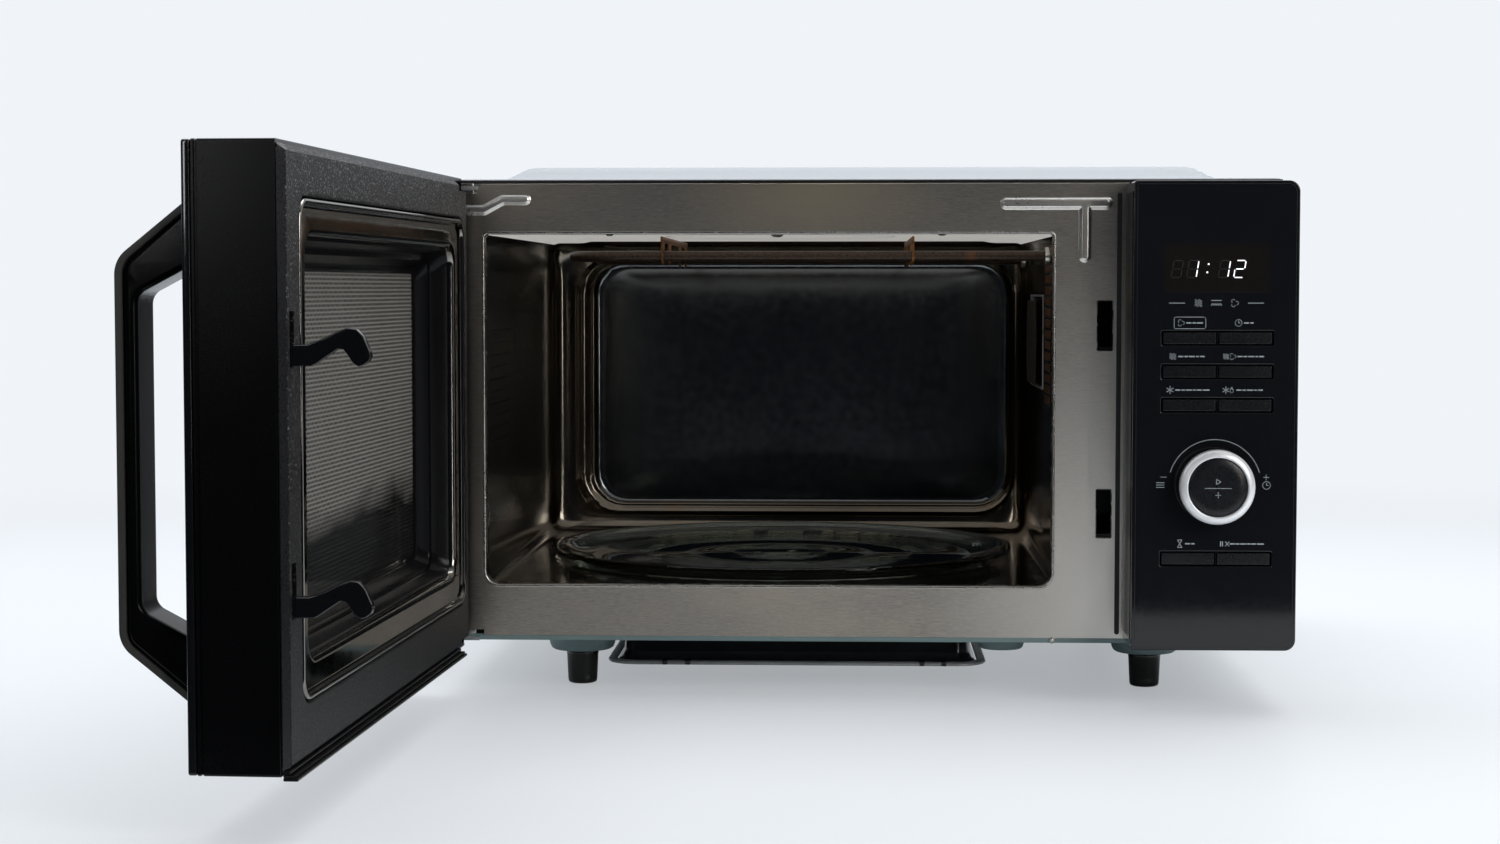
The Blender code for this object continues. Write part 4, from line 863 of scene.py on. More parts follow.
def make_back_panel():
    low, high = extent("back_panel")
    back = high.y
    fan_x = 0.1920
    vents = [(fan_x - 0.042, 0.140 + row * 0.016, fan_x + 0.042, 0.147 + row * 0.016)
             for row in range(6)]
    vents += [(CENTRE[0] - 0.045, 0.220 + row * 0.016, CENTRE[0] + 0.045, 0.227 + row * 0.016)
              for row in range(4)]
    edge = corner_ring((low.x + 0.0012, low.z, high.x - 0.0012, high.z - 0.0012), 0.004, 3)
    holes = [corner_ring(vent, 0.003, 3) for vent in vents]
    gland = corner_ring((0.2060, 0.0580, 0.2200, 0.0720), 0.0065, 4)
    sheet = plate_mesh("rear_sheet", [edge, *holes, gland], 0.0010, 0.0002,
                       at=(0, (low.y + back) / 2, 0))
    hoods = []
    for x0, z0, x1, z1 in vents:
        middle = (x0 + x1) / 2
        rings = []
        for step in range(7):
            angle = math.radians(90 * step / 6)
            out, up = 0.0034 * math.cos(angle), z0 + 0.0005 + 0.0068 * math.sin(angle)
            half = (x1 - x0) / 2 + 0.0008 - 0.0030 * math.cos(angle)
            x0_out, x1_out = middle - half, middle + half
            rings.append([(x0_out, back - 0.0003, up + 0.0002), (x0_out, back + out * 0.7, up),
                          (x0_out + 0.002, back + out, up - 0.0002),
                          (x1_out - 0.002, back + out, up - 0.0002),
                          (x1_out, back + out * 0.7, up), (x1_out, back - 0.0003, up + 0.0002)])
        hoods.append(skin("louvre", rings, cap_last=True))
    heads = [(x, z) for x in (low.x + 0.010, high.x - 0.010)
             for z in (low.z + 0.012, 0.175, high.z - 0.012)]
    heads += [(x, high.z - 0.008) for x in (-0.09, 0.09)]
    screws = [screw_mesh("screw", (x, back, z), 0.0034, "y") for x, z in heads]
    field = relief_back((-0.225, 0.060, 0.130, 0.200), back)
    publish("rear_sheet", [sheet, *hoods, field], ZINC,
            replaces=("back_panel",), sharp=40, flat=True)
    publish("rear_screws", screws, LIP_STEEL)


def relief_back(rect, back):
    """Shallow pressed field on the rear sheet."""
    rings = profile_ring(rect, 0.012, ((0.0, back - 0.0002), (-0.002, back + 0.0008),
                                       (-0.005, back + 0.0016), (-0.009, back + 0.0018)), 6)
    return skin("rear_field", rings, cap_last=True)


def make_base():
    low, high = extent("base_plate")
    bosses = [(*middle_of(name)[:2], 0.0241, 0.0357 - extent(name)[1].z) for name in FEET]
    bosses.append((0.0890, 0.0335, 0.0165, 0.0105))
    circles = [circle(x, y, radius - 0.0008, 32) for x, y, radius, _ in bosses]
    circles.append(circle(*CENTRE, 0.0300, 32))
    edge = corner_ring((low.x, low.y - 0.0016, high.x, high.y), 0.003, 3)
    sheet = plate_mesh("base_sheet", [edge, *circles], SHEET, 0.0003, "xy", (0, 0, BASE_Z))
    cups = []
    for x, y, radius, depth in bosses:
        wall = ((1.0, 0.0), (0.985, 0.05), (0.955, 0.16), (0.90, 0.45), (0.85, 0.78), (0.81, 0.92),
                (0.75, 0.985), (0.68, 1.0), (0.30, 1.0), (0.0, 1.0))
        outer = [(radius * share, 0.0361 - depth * down) for share, down in wall]
        inner = [(0.0, 0.0370 - depth), (radius * 0.70, 0.0370 - depth), (radius * 0.96, BASE_Z)]
        cups.append(lathe_mesh("boss", outer + inner, 48, at=(x, y, 0)))
    flange = block_mesh("front_flange", (low.x, -0.0004, 0.0337), (high.x, 0.0008, BASE_Z), 0.0004)
    publish("base_sheet", [sheet, flange, *cups], TEAL,
            replaces=("base_plate",), sharp=45, flat=True)
    screws = [screw_mesh("base_screw", (x, 0.0105, 0.0360), 0.0030, "-z") for x in (-0.205, 0.1179)]
    screws.append(screw_mesh("base_screw", (0.1179, 0.0001, 0.0352), 0.0019, "-y"))
    publish("base_screws", screws, LIP_STEEL)


def make_feet():
    for name in FEET:
        x, y, _ = middle_of(name)
        top = extent(name)[1].z
        profile = [(0.0, 0.0), (0.0074, 0.0), (0.0086, 0.0005), (0.0091, 0.0016), (0.0093, 0.0045),
                   (0.0093, 0.0060), (0.0094, 0.0062), (0.0099, top - 0.0030),
                   (0.0101, top - 0.0026), (0.0101, top - 0.0004), (0.0098, top), (0.0, top)]
        mesh = lathe_mesh(name + "_piece", profile, 40, at=(x, y, 0))
        publish(name + "_piece", mesh, FOOT, replaces=(name,), sharp=45)


def make_pan():
    low, high = extent("floor_heat_shield")
    rect = (low.x + 0.006, low.y + 0.006, high.x - 0.006, high.y - 0.006)
    floor, top = low.z, high.z

    def level(out, z):
        return [(x, y, z) for x, y in corner_ring(grown(rect, out), 0.014 + out, 7)]

    rings = [level(-0.006, top), level(-0.0055, top - 0.004)]
    rings += [level(out, floor + up)
              for out, up in ((-0.0045, 0.008), (-0.0034, 0.0040), (-0.0010, 0.0022),
                              (-0.0010, 0.0012), (-0.0100, 0.0008), (-0.0300, 0.0020),
                              (-0.0700, 0.0024))]
    shell = skin("pan_shell", rings, cap_last=True)
    tabs = [block_mesh("pan_tab", (x - 0.0016, rect[1] - 0.0062, floor + 0.0004),
                       (x + 0.0016, rect[1] + 0.0010, floor + 0.0038), 0.0006)
            for x in (-0.1215, -0.1070, 0.0402, 0.0540)]
    publish("heat_shield_pan", [shell, *tabs], ENAMEL,
            replaces=("floor_heat_shield",), sharp=45)
    lip = [level(out, floor + up)
           for out, up in ((0.0004, 0.0026), (0.0046, 0.0026), (0.0056, 0.0020), (0.0058, 0.0010),
                           (0.0050, 0.0004), (0.0004, 0.0006))]
    publish("heat_shield_lip", skin("heat_shield_lip", lip, loop=True), EDGE,
            sharp=60)


def make_hinges():
    for name, side in (("upper_hinge_bracket", 1), ("lower_hinge_bracket", -1)):
        repaint(ZINC, name, bevel=0.0003)
        left = extent(name)[0].x
        face = 0.3093 if side > 0 else 0.0335
        foot = face - 0.0016 * side
        cheek = block_mesh(name + "_cheek", (left + 0.0006, 0.0014, foot - 0.0010),
                           (left + 0.0170, 0.0030, foot + 0.0060), 0.0005)
        button = [(0.0, -0.0008), (0.0030, -0.0008), (0.0040, 0.0), (0.0040, 0.0004),
                  (0.0030, 0.0012), (0.0, 0.0012)]
        above = face + (0.0022 + 0.0009 if side > 0 else -0.0012)
        knuckle = lathe_mesh(name + "_knuckle", button, 28, at=(*PIVOT, above))
        publish(name + "_rivet", [cheek, knuckle], LIP_STEEL)


# ------------------------------------------------------------------ control panel
PANEL_LOW, PANEL_HIGH = extent("control_panel_housing")
FACE = PANEL_LOW.y
PANEL_X = (PANEL_LOW.x + PANEL_HIGH.x) / 2
DIAL_Z = middle_of("dial_skirt")[2]
KEYS = ("microwave_key", "clock_key", "combination_key", "grill_key", "quick_defrost_key",
        "auto_defrost_key", "preset_key", "cancel_key")


def make_panel():
    display = outline("display_window")
    rect = outline("control_panel_housing")
    corners = (0.0015, 0.0065, 0.0065, 0.0015)
    window = corner_ring(grown(display, 0.0001), 0.0008, 3)
    well = circle(PANEL_X, DIAL_Z, 0.0187, 64)
    rows = [(outline(left), outline(right)) for left, right in zip(KEYS[::2], KEYS[1::2])]
    holes = [corner_ring(grown((*left[:2], right[2], left[3]), 0.0006), 0.0007, 3)
             for left, right in rows]
    face = plate_mesh("panel_face", [corner_ring(rect, corners, 8), window, well, *holes], 0.0025,
                      0.0007, at=(0, FACE + 0.00125, 0), segments=3)
    wall = skin("panel_wall", profile_ring(rect, corners, (
        (-0.0003, FACE + 0.0012), (0.0, FACE + 0.0020), (0.0, -0.0008), (-0.0006, -0.0004),
        (-0.0022, -0.0004), (-0.0022, FACE + 0.0016)), 8), loop=True)
    bars = []
    for left, right in rows:
        middle, bottom, top = (left[2] + right[0]) / 2, left[1], left[3]
        bars.append(block_mesh("key_divider", (middle - 0.0003, FACE + 0.0004, bottom - 0.0006),
                               (middle + 0.0003, FACE + 0.0030, top + 0.0006), 0.0001, 1))
        bars.append(block_mesh("key_bed", (left[0] - 0.001, FACE + 0.0055, bottom - 0.001),
                               (right[2] + 0.001, FACE + 0.0061, top + 0.001), 0.0002, 1))
    publish("panel_shell", [face, wall, *bars], GLOSS,
            replaces=("control_panel_housing",), sharp=35, flat=True)
    border = skin("border", profile_ring(grown(rect, -0.0017), (0.0010, 0.0052, 0.0052, 0.0010), (
        (0.0, FACE + 0.0003), (-0.0001, FACE - 0.00004), (-0.0004, FACE - 0.00004),
        (-0.0005, FACE + 0.0003)), 8), loop=True)
    publish("panel_face_border", border, SATIN)
    x0, z0, x1, z1 = grown(display, 0.0008)
    glass = block_mesh("display_pane", (x0, FACE - 0.00008, z0), (x1, FACE + 0.0022, z1), 0.0001)
    publish("display_pane", glass, DISPLAY, replaces=("display_window",),
            flat=True)
    for name in KEYS:
        low, high = extent(name)
        cap = block_mesh(name + "_cap", (low.x + 0.0002, FACE + 0.0004, low.z + 0.0002),
                         (high.x - 0.0002, FACE + 0.0040, high.z - 0.0002), 0.0006)
        stem = block_mesh(name + "_stem", (low.x + 0.0135, FACE + 0.0036, low.z + 0.0025),
                          (high.x - 0.0135, high.y, high.z - 0.0025), 0.0003, 1)
        publish(name + "_cap", [cap, stem], BEZEL, name,
                replaces=(name,), flat=True)
    strip = block_mesh("panel_side_strip",
                       (PANEL_LOW.x - 0.0004, FACE + 0.0060, PANEL_LOW.z + 0.006),
                       (PANEL_LOW.x + 0.0004, -0.0030, PANEL_HIGH.z - 0.006), 0.0002)
    publish("panel_side_strip", strip, DEEP, flat=True)


def bar_stroke(points, width, thickness=0.00006, closed=False, lift=0.0):
    """Printed line through (x, z) points, on the panel's face or lifted off it."""
    verts, faces = [], []
    path = list(points) + ([points[0]] if closed else [])
    for a, b in zip(path, path[1:]):
        a, b = Vector(a), Vector(b)
        run = (b - a)
        if run.length < 1e-7:
            continue
        run.normalize()
        side = Vector((-run.y, run.x)) * width / 2
        a2, b2 = a - run * width * 0.25, b + run * width * 0.25
        start = len(verts)
        for depth in (FACE - lift - thickness, FACE - lift + 0.00002):
            for corner in (a2 - side, b2 - side, b2 + side, a2 + side):
                verts.append((corner.x, depth, corner.y))
        for face in ((0, 1, 2, 3), (7, 6, 5, 4), (0, 4, 5, 1), (1, 5, 6, 2), (2, 6, 7, 3),
                     (3, 7, 4, 0)):
            faces.append(tuple(start + index for index in face))
    return mesh_of("stroke", verts, faces)


def line(x0, z0, x1, z1, width, lift=0.0):
    """Straight printed line."""
    return bar_stroke([(x0, z0), (x1, z1)], width, lift=lift)


def icon(kind, x, z, size):
    """Plain pictograms that stand where the words were."""
    s, w = size / 2, 0.00038
    if kind == "waves":
        return [bar_stroke([(x + s * 1.6 * (i / 12 - 0.5),
                             z + dz + 0.14 * size * math.sin(i * math.pi / 3))
                            for i in range(13)], w) for dz in (-0.28 * size, 0, 0.28 * size)]
    if kind == "clock":
        return [bar_stroke(arc(x, z, s * 0.9, 0, 360, 24), w),
                bar_stroke([(x, z + s * 0.55), (x, z), (x + s * 0.42, z - s * 0.05)], w)]
    if kind == "fan":
        return [bar_stroke(arc(*toward(x, z, 0.5 * s, a), 0.42 * s, a - 70, a + 110, 8), w)
                for a in (0, 120, 240)]
    if kind == "both":
        waves = icon("waves", x - s * 0.55, z, size * 0.55)
        return waves + icon("fan", x + s * 0.60, z, size * 0.62)
    if kind == "grill":
        teeth = [(x + s * (i / 4 - 1) * 1.2, z - s * 0.55 + (s * 0.5 if i % 2 else 0))
                 for i in range(9)]
        return [bar_stroke(teeth, w), line(x - s * 1.2, z + s * 0.62, x + s * 1.2, z + s * 0.62, w)]
    if kind == "flake":
        return [bar_stroke([toward(x, z, -s, a), toward(x, z, s, a)], w) for a in (30, 90, 150)]
    if kind == "flake_drop":
        drop_x = x + s * 0.65
        drop = [(drop_x, z + s * 0.50), *arc(drop_x, z - s * 0.15, s * 0.28, 20, -200, 10)]
        return icon("flake", x - s * 0.35, z, size * 0.62) + [bar_stroke(drop, w, closed=True)]
    if kind == "hourglass":
        return [bar_stroke([(x - s * 0.6, z + s), (x + s * 0.6, z + s), (x - s * 0.6, z - s),
                            (x + s * 0.6, z - s)], w, closed=True)]
    if kind == "stop":
        low, high = z - s * 0.6, z + s * 0.6
        return [line(x - s, low, x - s, high, w * 1.5),
                line(x - s * 0.5, low, x - s * 0.5, high, w * 1.5),
                line(x + s * 0.25, low, x + s * 1.3, high, w),
                line(x + s * 0.25, high, x + s * 1.3, low, w)]
    if kind == "list":
        return [line(x - s, z + dz, x + s, z + dz, w) for dz in (-s * 0.6, 0, s * 0.6)]
    play = [(x - s * 0.5, z - s * 0.7), (x - s * 0.5, z + s * 0.7), (x + s * 0.7, z)]
    return [bar_stroke(play, w, closed=True)]


def label(kind, x, z, size, length):
    """A pictogram with a broken rule beside it, about as long as a printed word."""
    start = x - length / 2
    marks = icon(kind, start + size / 2, z, size)
    at = start + size * 1.25
    for dash in (0.0026, 0.0016, 0.0032, 0.0012, 0.0024, 0.0036):
        if at + dash > x + length / 2:
            break
        marks.append(line(at, z, at + dash, z, 0.00075))
        at += dash + 0.0010
    return marks


def plus_mark(x, z, half, lift=0.0):
    width = 0.00032
    return [line(x - half, z, x + half, z, width, lift),
            line(x, z - half, x, z + half, width, lift)]


def make_print():
    """Pictograms over the keys and around the dial, in place of the printed words."""
    over = 0.0090           # height of a label over the middle of its key
    marks = []
    kinds = ("fan", "clock", "waves", "both", "flake", "flake_drop", "hourglass", "stop")
    lengths = (0.0150, 0.0130, 0.0240, 0.0260, 0.0270, 0.0270, 0.0140, 0.0270)
    for name, kind, length in zip(KEYS, kinds, lengths):
        x, _, z = middle_of(name)
        size = 0.0068 if kind in ("both", "flake_drop") else 0.0044
        marks += label(kind, x, z + over, size, length)
    x, _, z = middle_of("microwave_key")
    badge = (x - 0.0092, z + over - 0.0034, x + 0.0092, z + over + 0.0034)
    marks.append(bar_stroke(corner_ring(badge, 0.0010, 4), 0.00034, closed=True))
    rule_z = 0.2409
    for start, end in ((-0.0275, -0.0185), (0.0185, 0.0275)):
        marks.append(line(PANEL_X + start, rule_z, PANEL_X + end, rule_z, 0.00040))
    for step, kind in enumerate(("waves", "grill", "fan")):
        marks += icon(kind, PANEL_X - 0.0105 + step * 0.0105, rule_z, 0.0050)
    marks.append(bar_stroke(arc(PANEL_X, DIAL_Z, 0.0272, 163, 17, 48), 0.00045))
    minus_x, minus_z = PANEL_X - 0.0300, DIAL_Z + 0.0050
    marks.append(line(minus_x - 0.0016, minus_z, minus_x + 0.0016, minus_z, 0.00032))
    marks += plus_mark(PANEL_X + 0.0300, DIAL_Z + 0.0050, 0.0016)
    marks += icon("list", PANEL_X - 0.0318, DIAL_Z + 0.0003, 0.0046)
    marks += icon("clock", PANEL_X + 0.0303, DIAL_Z + 0.0003, 0.0050)
    publish("panel_pictograms", marks, PRINT)
    lift = FACE - extent("start_button")[0].y
    play = icon("play", PANEL_X, DIAL_Z + 0.0034, 0.0044)
    for mesh in play:
        mesh.transform(Matrix.Translation((0, -lift, 0)))
    rule = line(PANEL_X - 0.0078, DIAL_Z - 0.0004, PANEL_X + 0.0078, DIAL_Z - 0.0004, 0.00030, lift)
    plus = plus_mark(PANEL_X, DIAL_Z - 0.0044, 0.0016, lift)
    publish("start_button_print", [rule, *play, *plus], PRINT,
            "start_button")


SEGMENTS = {"a": ((0, 1), (1, 1)), "b": ((1, 1), (1, 0.5)), "c": ((1, 0.5), (1, 0)),
            "d": ((0, 0), (1, 0)), "e": ((0, 0.5), (0, 0)), "f": ((0, 1), (0, 0.5)),
            "g": ((0, 0.5), (1, 0.5))}


def digit(x, z, names):
    """Strokes for some segments of a slanted seven-segment digit."""
    strokes = []
    for name in names:
        a, b = (Vector(p) for p in SEGMENTS[name])
        a, b = a.lerp(b, 0.13), b.lerp(a, 0.13)
        ends = [(x + p.x * DIGIT_WIDTH + p.y * DIGIT_HEIGHT * SLANT, z + p.y * DIGIT_HEIGHT)
                for p in (a, b)]
        strokes.append(bar_stroke(ends, 0.00058, 0.00005, lift=0.00009))
    return strokes


def make_display():
    base = extent("display_window")[0].z + 0.0078
    on, off = [], []
    for along, lit in ((-0.0266, ""), (-0.0176, "bc"), (0.0008, "bc"), (0.0098, "abged")):
        on += digit(PANEL_X + along, base, lit)
        if lit != "abged":
            off += digit(PANEL_X + along, base, [s for s in SEGMENTS if s not in lit])
    for height in (0.0030, 0.0078):
        x, z = PANEL_X - 0.0060 + height * SLANT, base + height
        on.append(bar_stroke([(x, z - 0.0002), (x, z + 0.0002)], 0.0009, 0.00005, lift=0.00009))
    publish("display_lit_segments", on, LIT)
    publish("display_unlit_segments", off, UNLIT)


def make_dial():
    z = middle_of("dial_ring")[2]
    front = extent("dial_ring")[0].y
    place = (PANEL_X, front, z)
    ring = [(0.0173, -0.0030), (0.0173, -0.0007), (0.0176, -0.0002), (0.0181, 0.0),
            (0.0187, -0.0001), (0.0200, -0.0007), (0.0209, -0.0014), (0.0215, -0.0021),
            (0.0219, -0.0031), (0.0219, -0.0064), (0.0217, -0.0070), (0.0212, -0.0070),
            (0.0212, -0.0040), (0.0176, -0.0036)]
    publish("dial_ring_piece", lathe_mesh("dial_ring_piece", ring, 128, "y", place), ALUMINIUM,
            "dial", replaces=("dial_ring",), sharp=45)
    depth = FACE - front
    skirt = [(0.0174, -0.0034), (0.0206, -0.0038), (0.0210, -0.0066), (0.0213, -0.0072),
             (0.0213, -depth + 0.0010), (0.0208, -depth + 0.0005), (0.0183, -depth + 0.0005),
             (0.0182, -depth - 0.0056), (0.0174, -depth - 0.0056)]
    mesh = lathe_mesh("skirt", skirt, 144, "y", place)
    for vert in mesh.vertices:
        radial = Vector((vert.co.x - PANEL_X, vert.co.z - z))
        if radial.length > 0.0209 and front + 0.0072 < vert.co.y < FACE:
            ripple = 0.5 + 0.5 * math.cos(KNURLS * math.atan2(radial.y, radial.x))
            notch = 1 - 0.00035 * ripple / 0.0213
            vert.co.x, vert.co.z = PANEL_X + radial.x * notch, z + radial.y * notch
    publish("dial_skirt_piece", mesh, SATIN, "dial", replaces=("dial_skirt",))
    cap_low, cap_high = extent("start_button")
    stem = cap_low.y - cap_high.y
    crown = [(0.0, 0.0), (0.0060, -0.00001), (0.0120, -0.00003), (0.0160, -0.00006),
             (0.0166, -0.0004), (0.0168, -0.0013), (0.0168, -0.0040), (0.0055, -0.0042),
             (0.0050, stem), (0.0, stem)]
    cap = lathe_mesh("start_button_cap", crown, 96, "y", (PANEL_X, cap_low.y, z))
    publish("start_button_cap", cap, BEZEL, "start_button",
            replaces=("start_button",), sharp=40)


# ------------------------------------------------------------------ heater and turntable
def make_heater():
    runs, z, radius = (0.0750, 0.1350, 0.2350, 0.2950), 0.2700, 0.0033
    left, right = extent("grill_heater")[0].x + radius, LINER[2] - 0.0006
    turn_right = LINER[2] - 0.030
    path = [Vector((right, runs[0], z)), Vector((0.0, runs[0], z))]
    for index in range(3):
        near, far = runs[index], runs[index + 1]
        bend = (far - near) / 2
        leftwards = index % 2 == 0
        edge = left + bend if leftwards else turn_right - bend
        sign = -1 if leftwards else 1
        for step in range(21):
            angle = math.pi * step / 20
            path.append(Vector((edge + sign * bend * math.sin(angle),
                                near + bend - bend * math.cos(angle), z)))
    path += [Vector((0.0, runs[3], z)), Vector((right, runs[3], z))]
    publish("heater_tube", tube_mesh("heater_tube", path, radius), SHEATH,
            replaces=("grill_heater",), sharp=60)
    collar = [(0.0034, 0.0), (0.0052, 0.0), (0.0056, 0.0010), (0.0056, 0.0030), (0.0046, 0.0044),
              (0.0034, 0.0060)]
    ferrules = [lathe_mesh("ferrule", collar, 28, "x", (LINER[2] - 0.0064, y, z))
                for y in (runs[0], runs[3])]
    publish("heater_ferrules", ferrules, LIP_STEEL)
    for name in ("heater_bracket_left", "heater_bracket_right"):
        low, high = extent(name)
        edge = [(low.y, high.z), (low.y, high.z - 0.003)]
        for run in runs:
            edge.append((run - 0.0075, high.z - 0.004))
            edge += [(run + 0.0055 * math.cos(a), z + 0.0055 * math.sin(a))
                     for a in np.linspace(math.radians(160), math.radians(380), 13)]
            edge.append((run + 0.0075, high.z - 0.004))
        edge += [(high.y, high.z - 0.003), (high.y, high.z)]
        holes = [circle(run, z, 0.0036, 20) for run in runs]
        mesh = plate_mesh(name + "_clip", [edge, *holes], 0.0014, 0.0002, "yz",
                          (middle_of(name)[0], 0, 0))
        publish(name + "_clip", mesh, RUST, replaces=(name,))


def make_cavity_fittings():
    low, high = extent("waveguide_cover")
    cut = 0.018
    edge = [(low.y, low.z + cut), (low.y + 0.006, low.z), (high.y - 0.006, low.z),
            (high.y, low.z + cut), (high.y, high.z - cut), (high.y - 0.006, high.z),
            (low.y + 0.006, high.z), (low.y, high.z - cut)]
    mesh = plate_mesh("mica_window", [edge], 0.0007, 0.0001, "yz",
                      (middle_of("waveguide_cover")[0] - 0.0002, 0, 0))
    publish("mica_window", mesh, MICA, replaces=("waveguide_cover",), flat=True)


def make_tray():
    low, high = extent("glass_tray")
    radius = (high.x - low.x) / 2
    base = 0.0651
    top = [(0.0, 0.0036), (0.030, 0.0036), (0.031, 0.0040), (0.034, 0.0040), (0.035, 0.0036),
           (0.088, 0.0036), (0.0888, 0.0040), (0.0905, 0.0040), (0.0913, 0.0036), (0.128, 0.0036),
           (0.134, 0.0040), (0.140, 0.0056), (0.146, 0.0082), (0.150, 0.0095),
           (radius - 0.003, 0.0100)]
    rim = [(radius - 0.0008, 0.0099), (radius, 0.0092), (radius, 0.0080), (radius - 0.0010, 0.0070)]
    under = [(0.150, 0.0064), (0.146, 0.0046), (0.1405, 0.0016), (0.137, 0.0003), (0.130, 0.0),
             (0.112, 0.0), (0.1115, -0.0001), (0.110, 0.0), (0.040, 0.0), (0.0, 0.0)]
    mesh = lathe_mesh("tray_dish", top + rim + under, 160, at=(*CENTRE, base))
    lug = [(0.0, 0.0004), (0.0042, 0.0004), (0.0040, -0.0042), (0.0034, -0.0050), (0.0, -0.0050)]
    lugs = [lathe_mesh("lug", lug, 24, at=(*toward(*CENTRE, 0.016, degrees), base))
            for degrees in (60, 180, 300)]
    publish("tray_dish", [mesh, *lugs], TRAY, "tray",
            replaces=("glass_tray",), sharp=35)


# ------------------------------------------------------------------ door
DOOR_LOW, DOOR_HIGH = extent("door_frame", DOOR)
COVER_LOW, COVER_HIGH = extent("choke_cover", DOOR)


def make_door_box():
    """Open box frame with a window, a seam near the front panel and a hinge notch."""
    back, front = DOOR_LOW.y, DOOR_HIGH.y
    rect = outline("door_frame", DOOR)
    wall = 0.0025
    rings = profile_ring(rect, 0.0015, (
        (-wall, front), (-0.0004, front), (0.0, front - 0.0004), (0.0, back + 0.0030),
        (-0.0006, back + 0.0026), (-0.0006, back + 0.0018), (0.0, back + 0.0014),
        (0.0, back + 0.0003), (-0.0004, back), (-wall, back), (-wall - 0.001, back),
        (-wall - 0.001, back + wall), (-wall, back + wall)), 3)
    walls = skin("door_walls", rings, loop=True)
    floor = plate_mesh("door_floor", [corner_ring(grown(rect, -0.0015), 0.002, 2),
                                      corner_ring(grown(WINDOW, 0.010), 0.008, 4)], wall, 0.0002,
                       at=(0, back + wall / 2, 0))
    for vert in walls.vertices:
        if vert.co.x < DOOR_LOW.x + 0.0006:
            for low, high in ((NOTCH_ABOVE, 0.4), (0.0, 0.0374)):
                if low < vert.co.z < high:
                    vert.co.y = min(vert.co.y, -0.0088)
    publish("door_shell", [walls, floor], DEEP, "door",
            replaces=("door_frame",), sharp=35, flat=True)


def make_door_front():
    fascia_low, fascia_high = extent("door_front_panel", DOOR)
    rings = [corner_ring(outline("door_front_panel", DOOR), 0.0015, 5),
             corner_ring(grown(WINDOW, 0.004), 0.010, 5)]
    mesh = plate_mesh("door_fascia", rings, fascia_high.y - fascia_low.y, 0.0009,
                      at=(0, middle_of("door_front_panel", DOOR)[1], 0), segments=3)
    publish("door_fascia", mesh, GLOSS, "door", replaces=("door_front_panel",),
            sharp=35, flat=True)
    pane_low, pane_high = extent("door_outer_glass", DOOR)
    pane = plate_mesh("door_window_pane",
                      [corner_ring(outline("door_outer_glass", DOOR), 0.010, 5)],
                      pane_high.y - pane_low.y, 0.0004,
                      at=(0, middle_of("door_outer_glass", DOOR)[1], 0))
    publish("door_window_pane", pane, SMOKED, "door",
            replaces=("door_outer_glass",), flat=True)


def carve(mesh, cutters):
    """Cut a closed mesh with other closed meshes and give back the result."""
    target = placed("carved", mesh)
    tools = [placed("cutter", cutter) for cutter in cutters]
    for tool in tools:
        step = target.modifiers.new("cut", "BOOLEAN")
        step.operation = "DIFFERENCE"
        step.object = tool
        step.solver = "EXACT"
    made = applied(target)
    for tool in tools:
        bpy.data.objects.remove(tool)
    return made


def make_door_cover():
    """Textured frame around the drawn panel, with a chamfered rim and two hook slots."""
    rect = (COVER_LOW.x, COVER_LOW.z + 0.0036, 0.4050, COVER_HIGH.z)
    inner = grown(RECESS, 0.0004)
    face, back = COVER_HIGH.y, COVER_LOW.y
    chamfer = 0.0033
    outer = profile_ring(rect, 0.0030, ((0.0, back), (0.0, back + 0.0004), (-chamfer, face),
                                        (-chamfer - 0.0004, face)), 6)
    mouth = profile_ring(inner, 0.012, ((0.0014, face), (0.0004, face - 0.0004),
                                        (0.0, face - 0.0012), (0.0, back)), 6)
    body = skin("cover_body", outer + mouth, loop=True)
    notches = [block_mesh("notch", (-0.02, -0.02, NOTCH_ABOVE), (0.0190, 0.02, 0.33), 0.0001, 1),
               block_mesh("notch", (-0.02, -0.02, 0.0), (0.0190, 0.02, NOTCH_BELOW), 0.0001, 1)]
    slots = [block_mesh("slot", (HOOK_AT - 0.0040, -0.02, z - 0.0018),
                        (HOOK_AT + 0.0036, 0.02, z + 0.0235), 0.0004, 1) for z in HOOK_Z]
    publish("door_choke_cover", carve(body, notches + slots), TEXTURED, "door",
            replaces=("choke_cover",), sharp=25, flat=True)
    edge = profile_ring(rect, 0.0030, ((0.0001, back), (0.0001, back + 0.0005),
                                       (-chamfer + 0.0004, face - 0.00045),
                                       (-chamfer + 0.0002, face - 0.0008), (-0.0012, back)), 6)
    strip = skin("cover_edge_strip", edge, loop=True)
    inboard = block_mesh("inboard", (-0.05, -0.05, 0.0), (0.396, 0.05, 0.40), 0.0001, 1)
    strip = carve(strip, [inboard])
    strip.transform(Matrix.Translation((0.00012, 0.00012, 0)))
    publish("door_edge_chamfer", strip, BEZEL, "door", sharp=25, flat=True)
    lip = [block_mesh("lip", (0.0200, 0.0060, low), (0.4042, reach, high), 0.0006)
           for low, high, reach in ((0.0284, 0.0300, 0.0130), (0.0300, 0.0312, 0.0118),
                                    (0.0312, 0.0330, 0.0094))]
    publish("door_lower_lip", lip, DEEP, "door",
            flat=True)


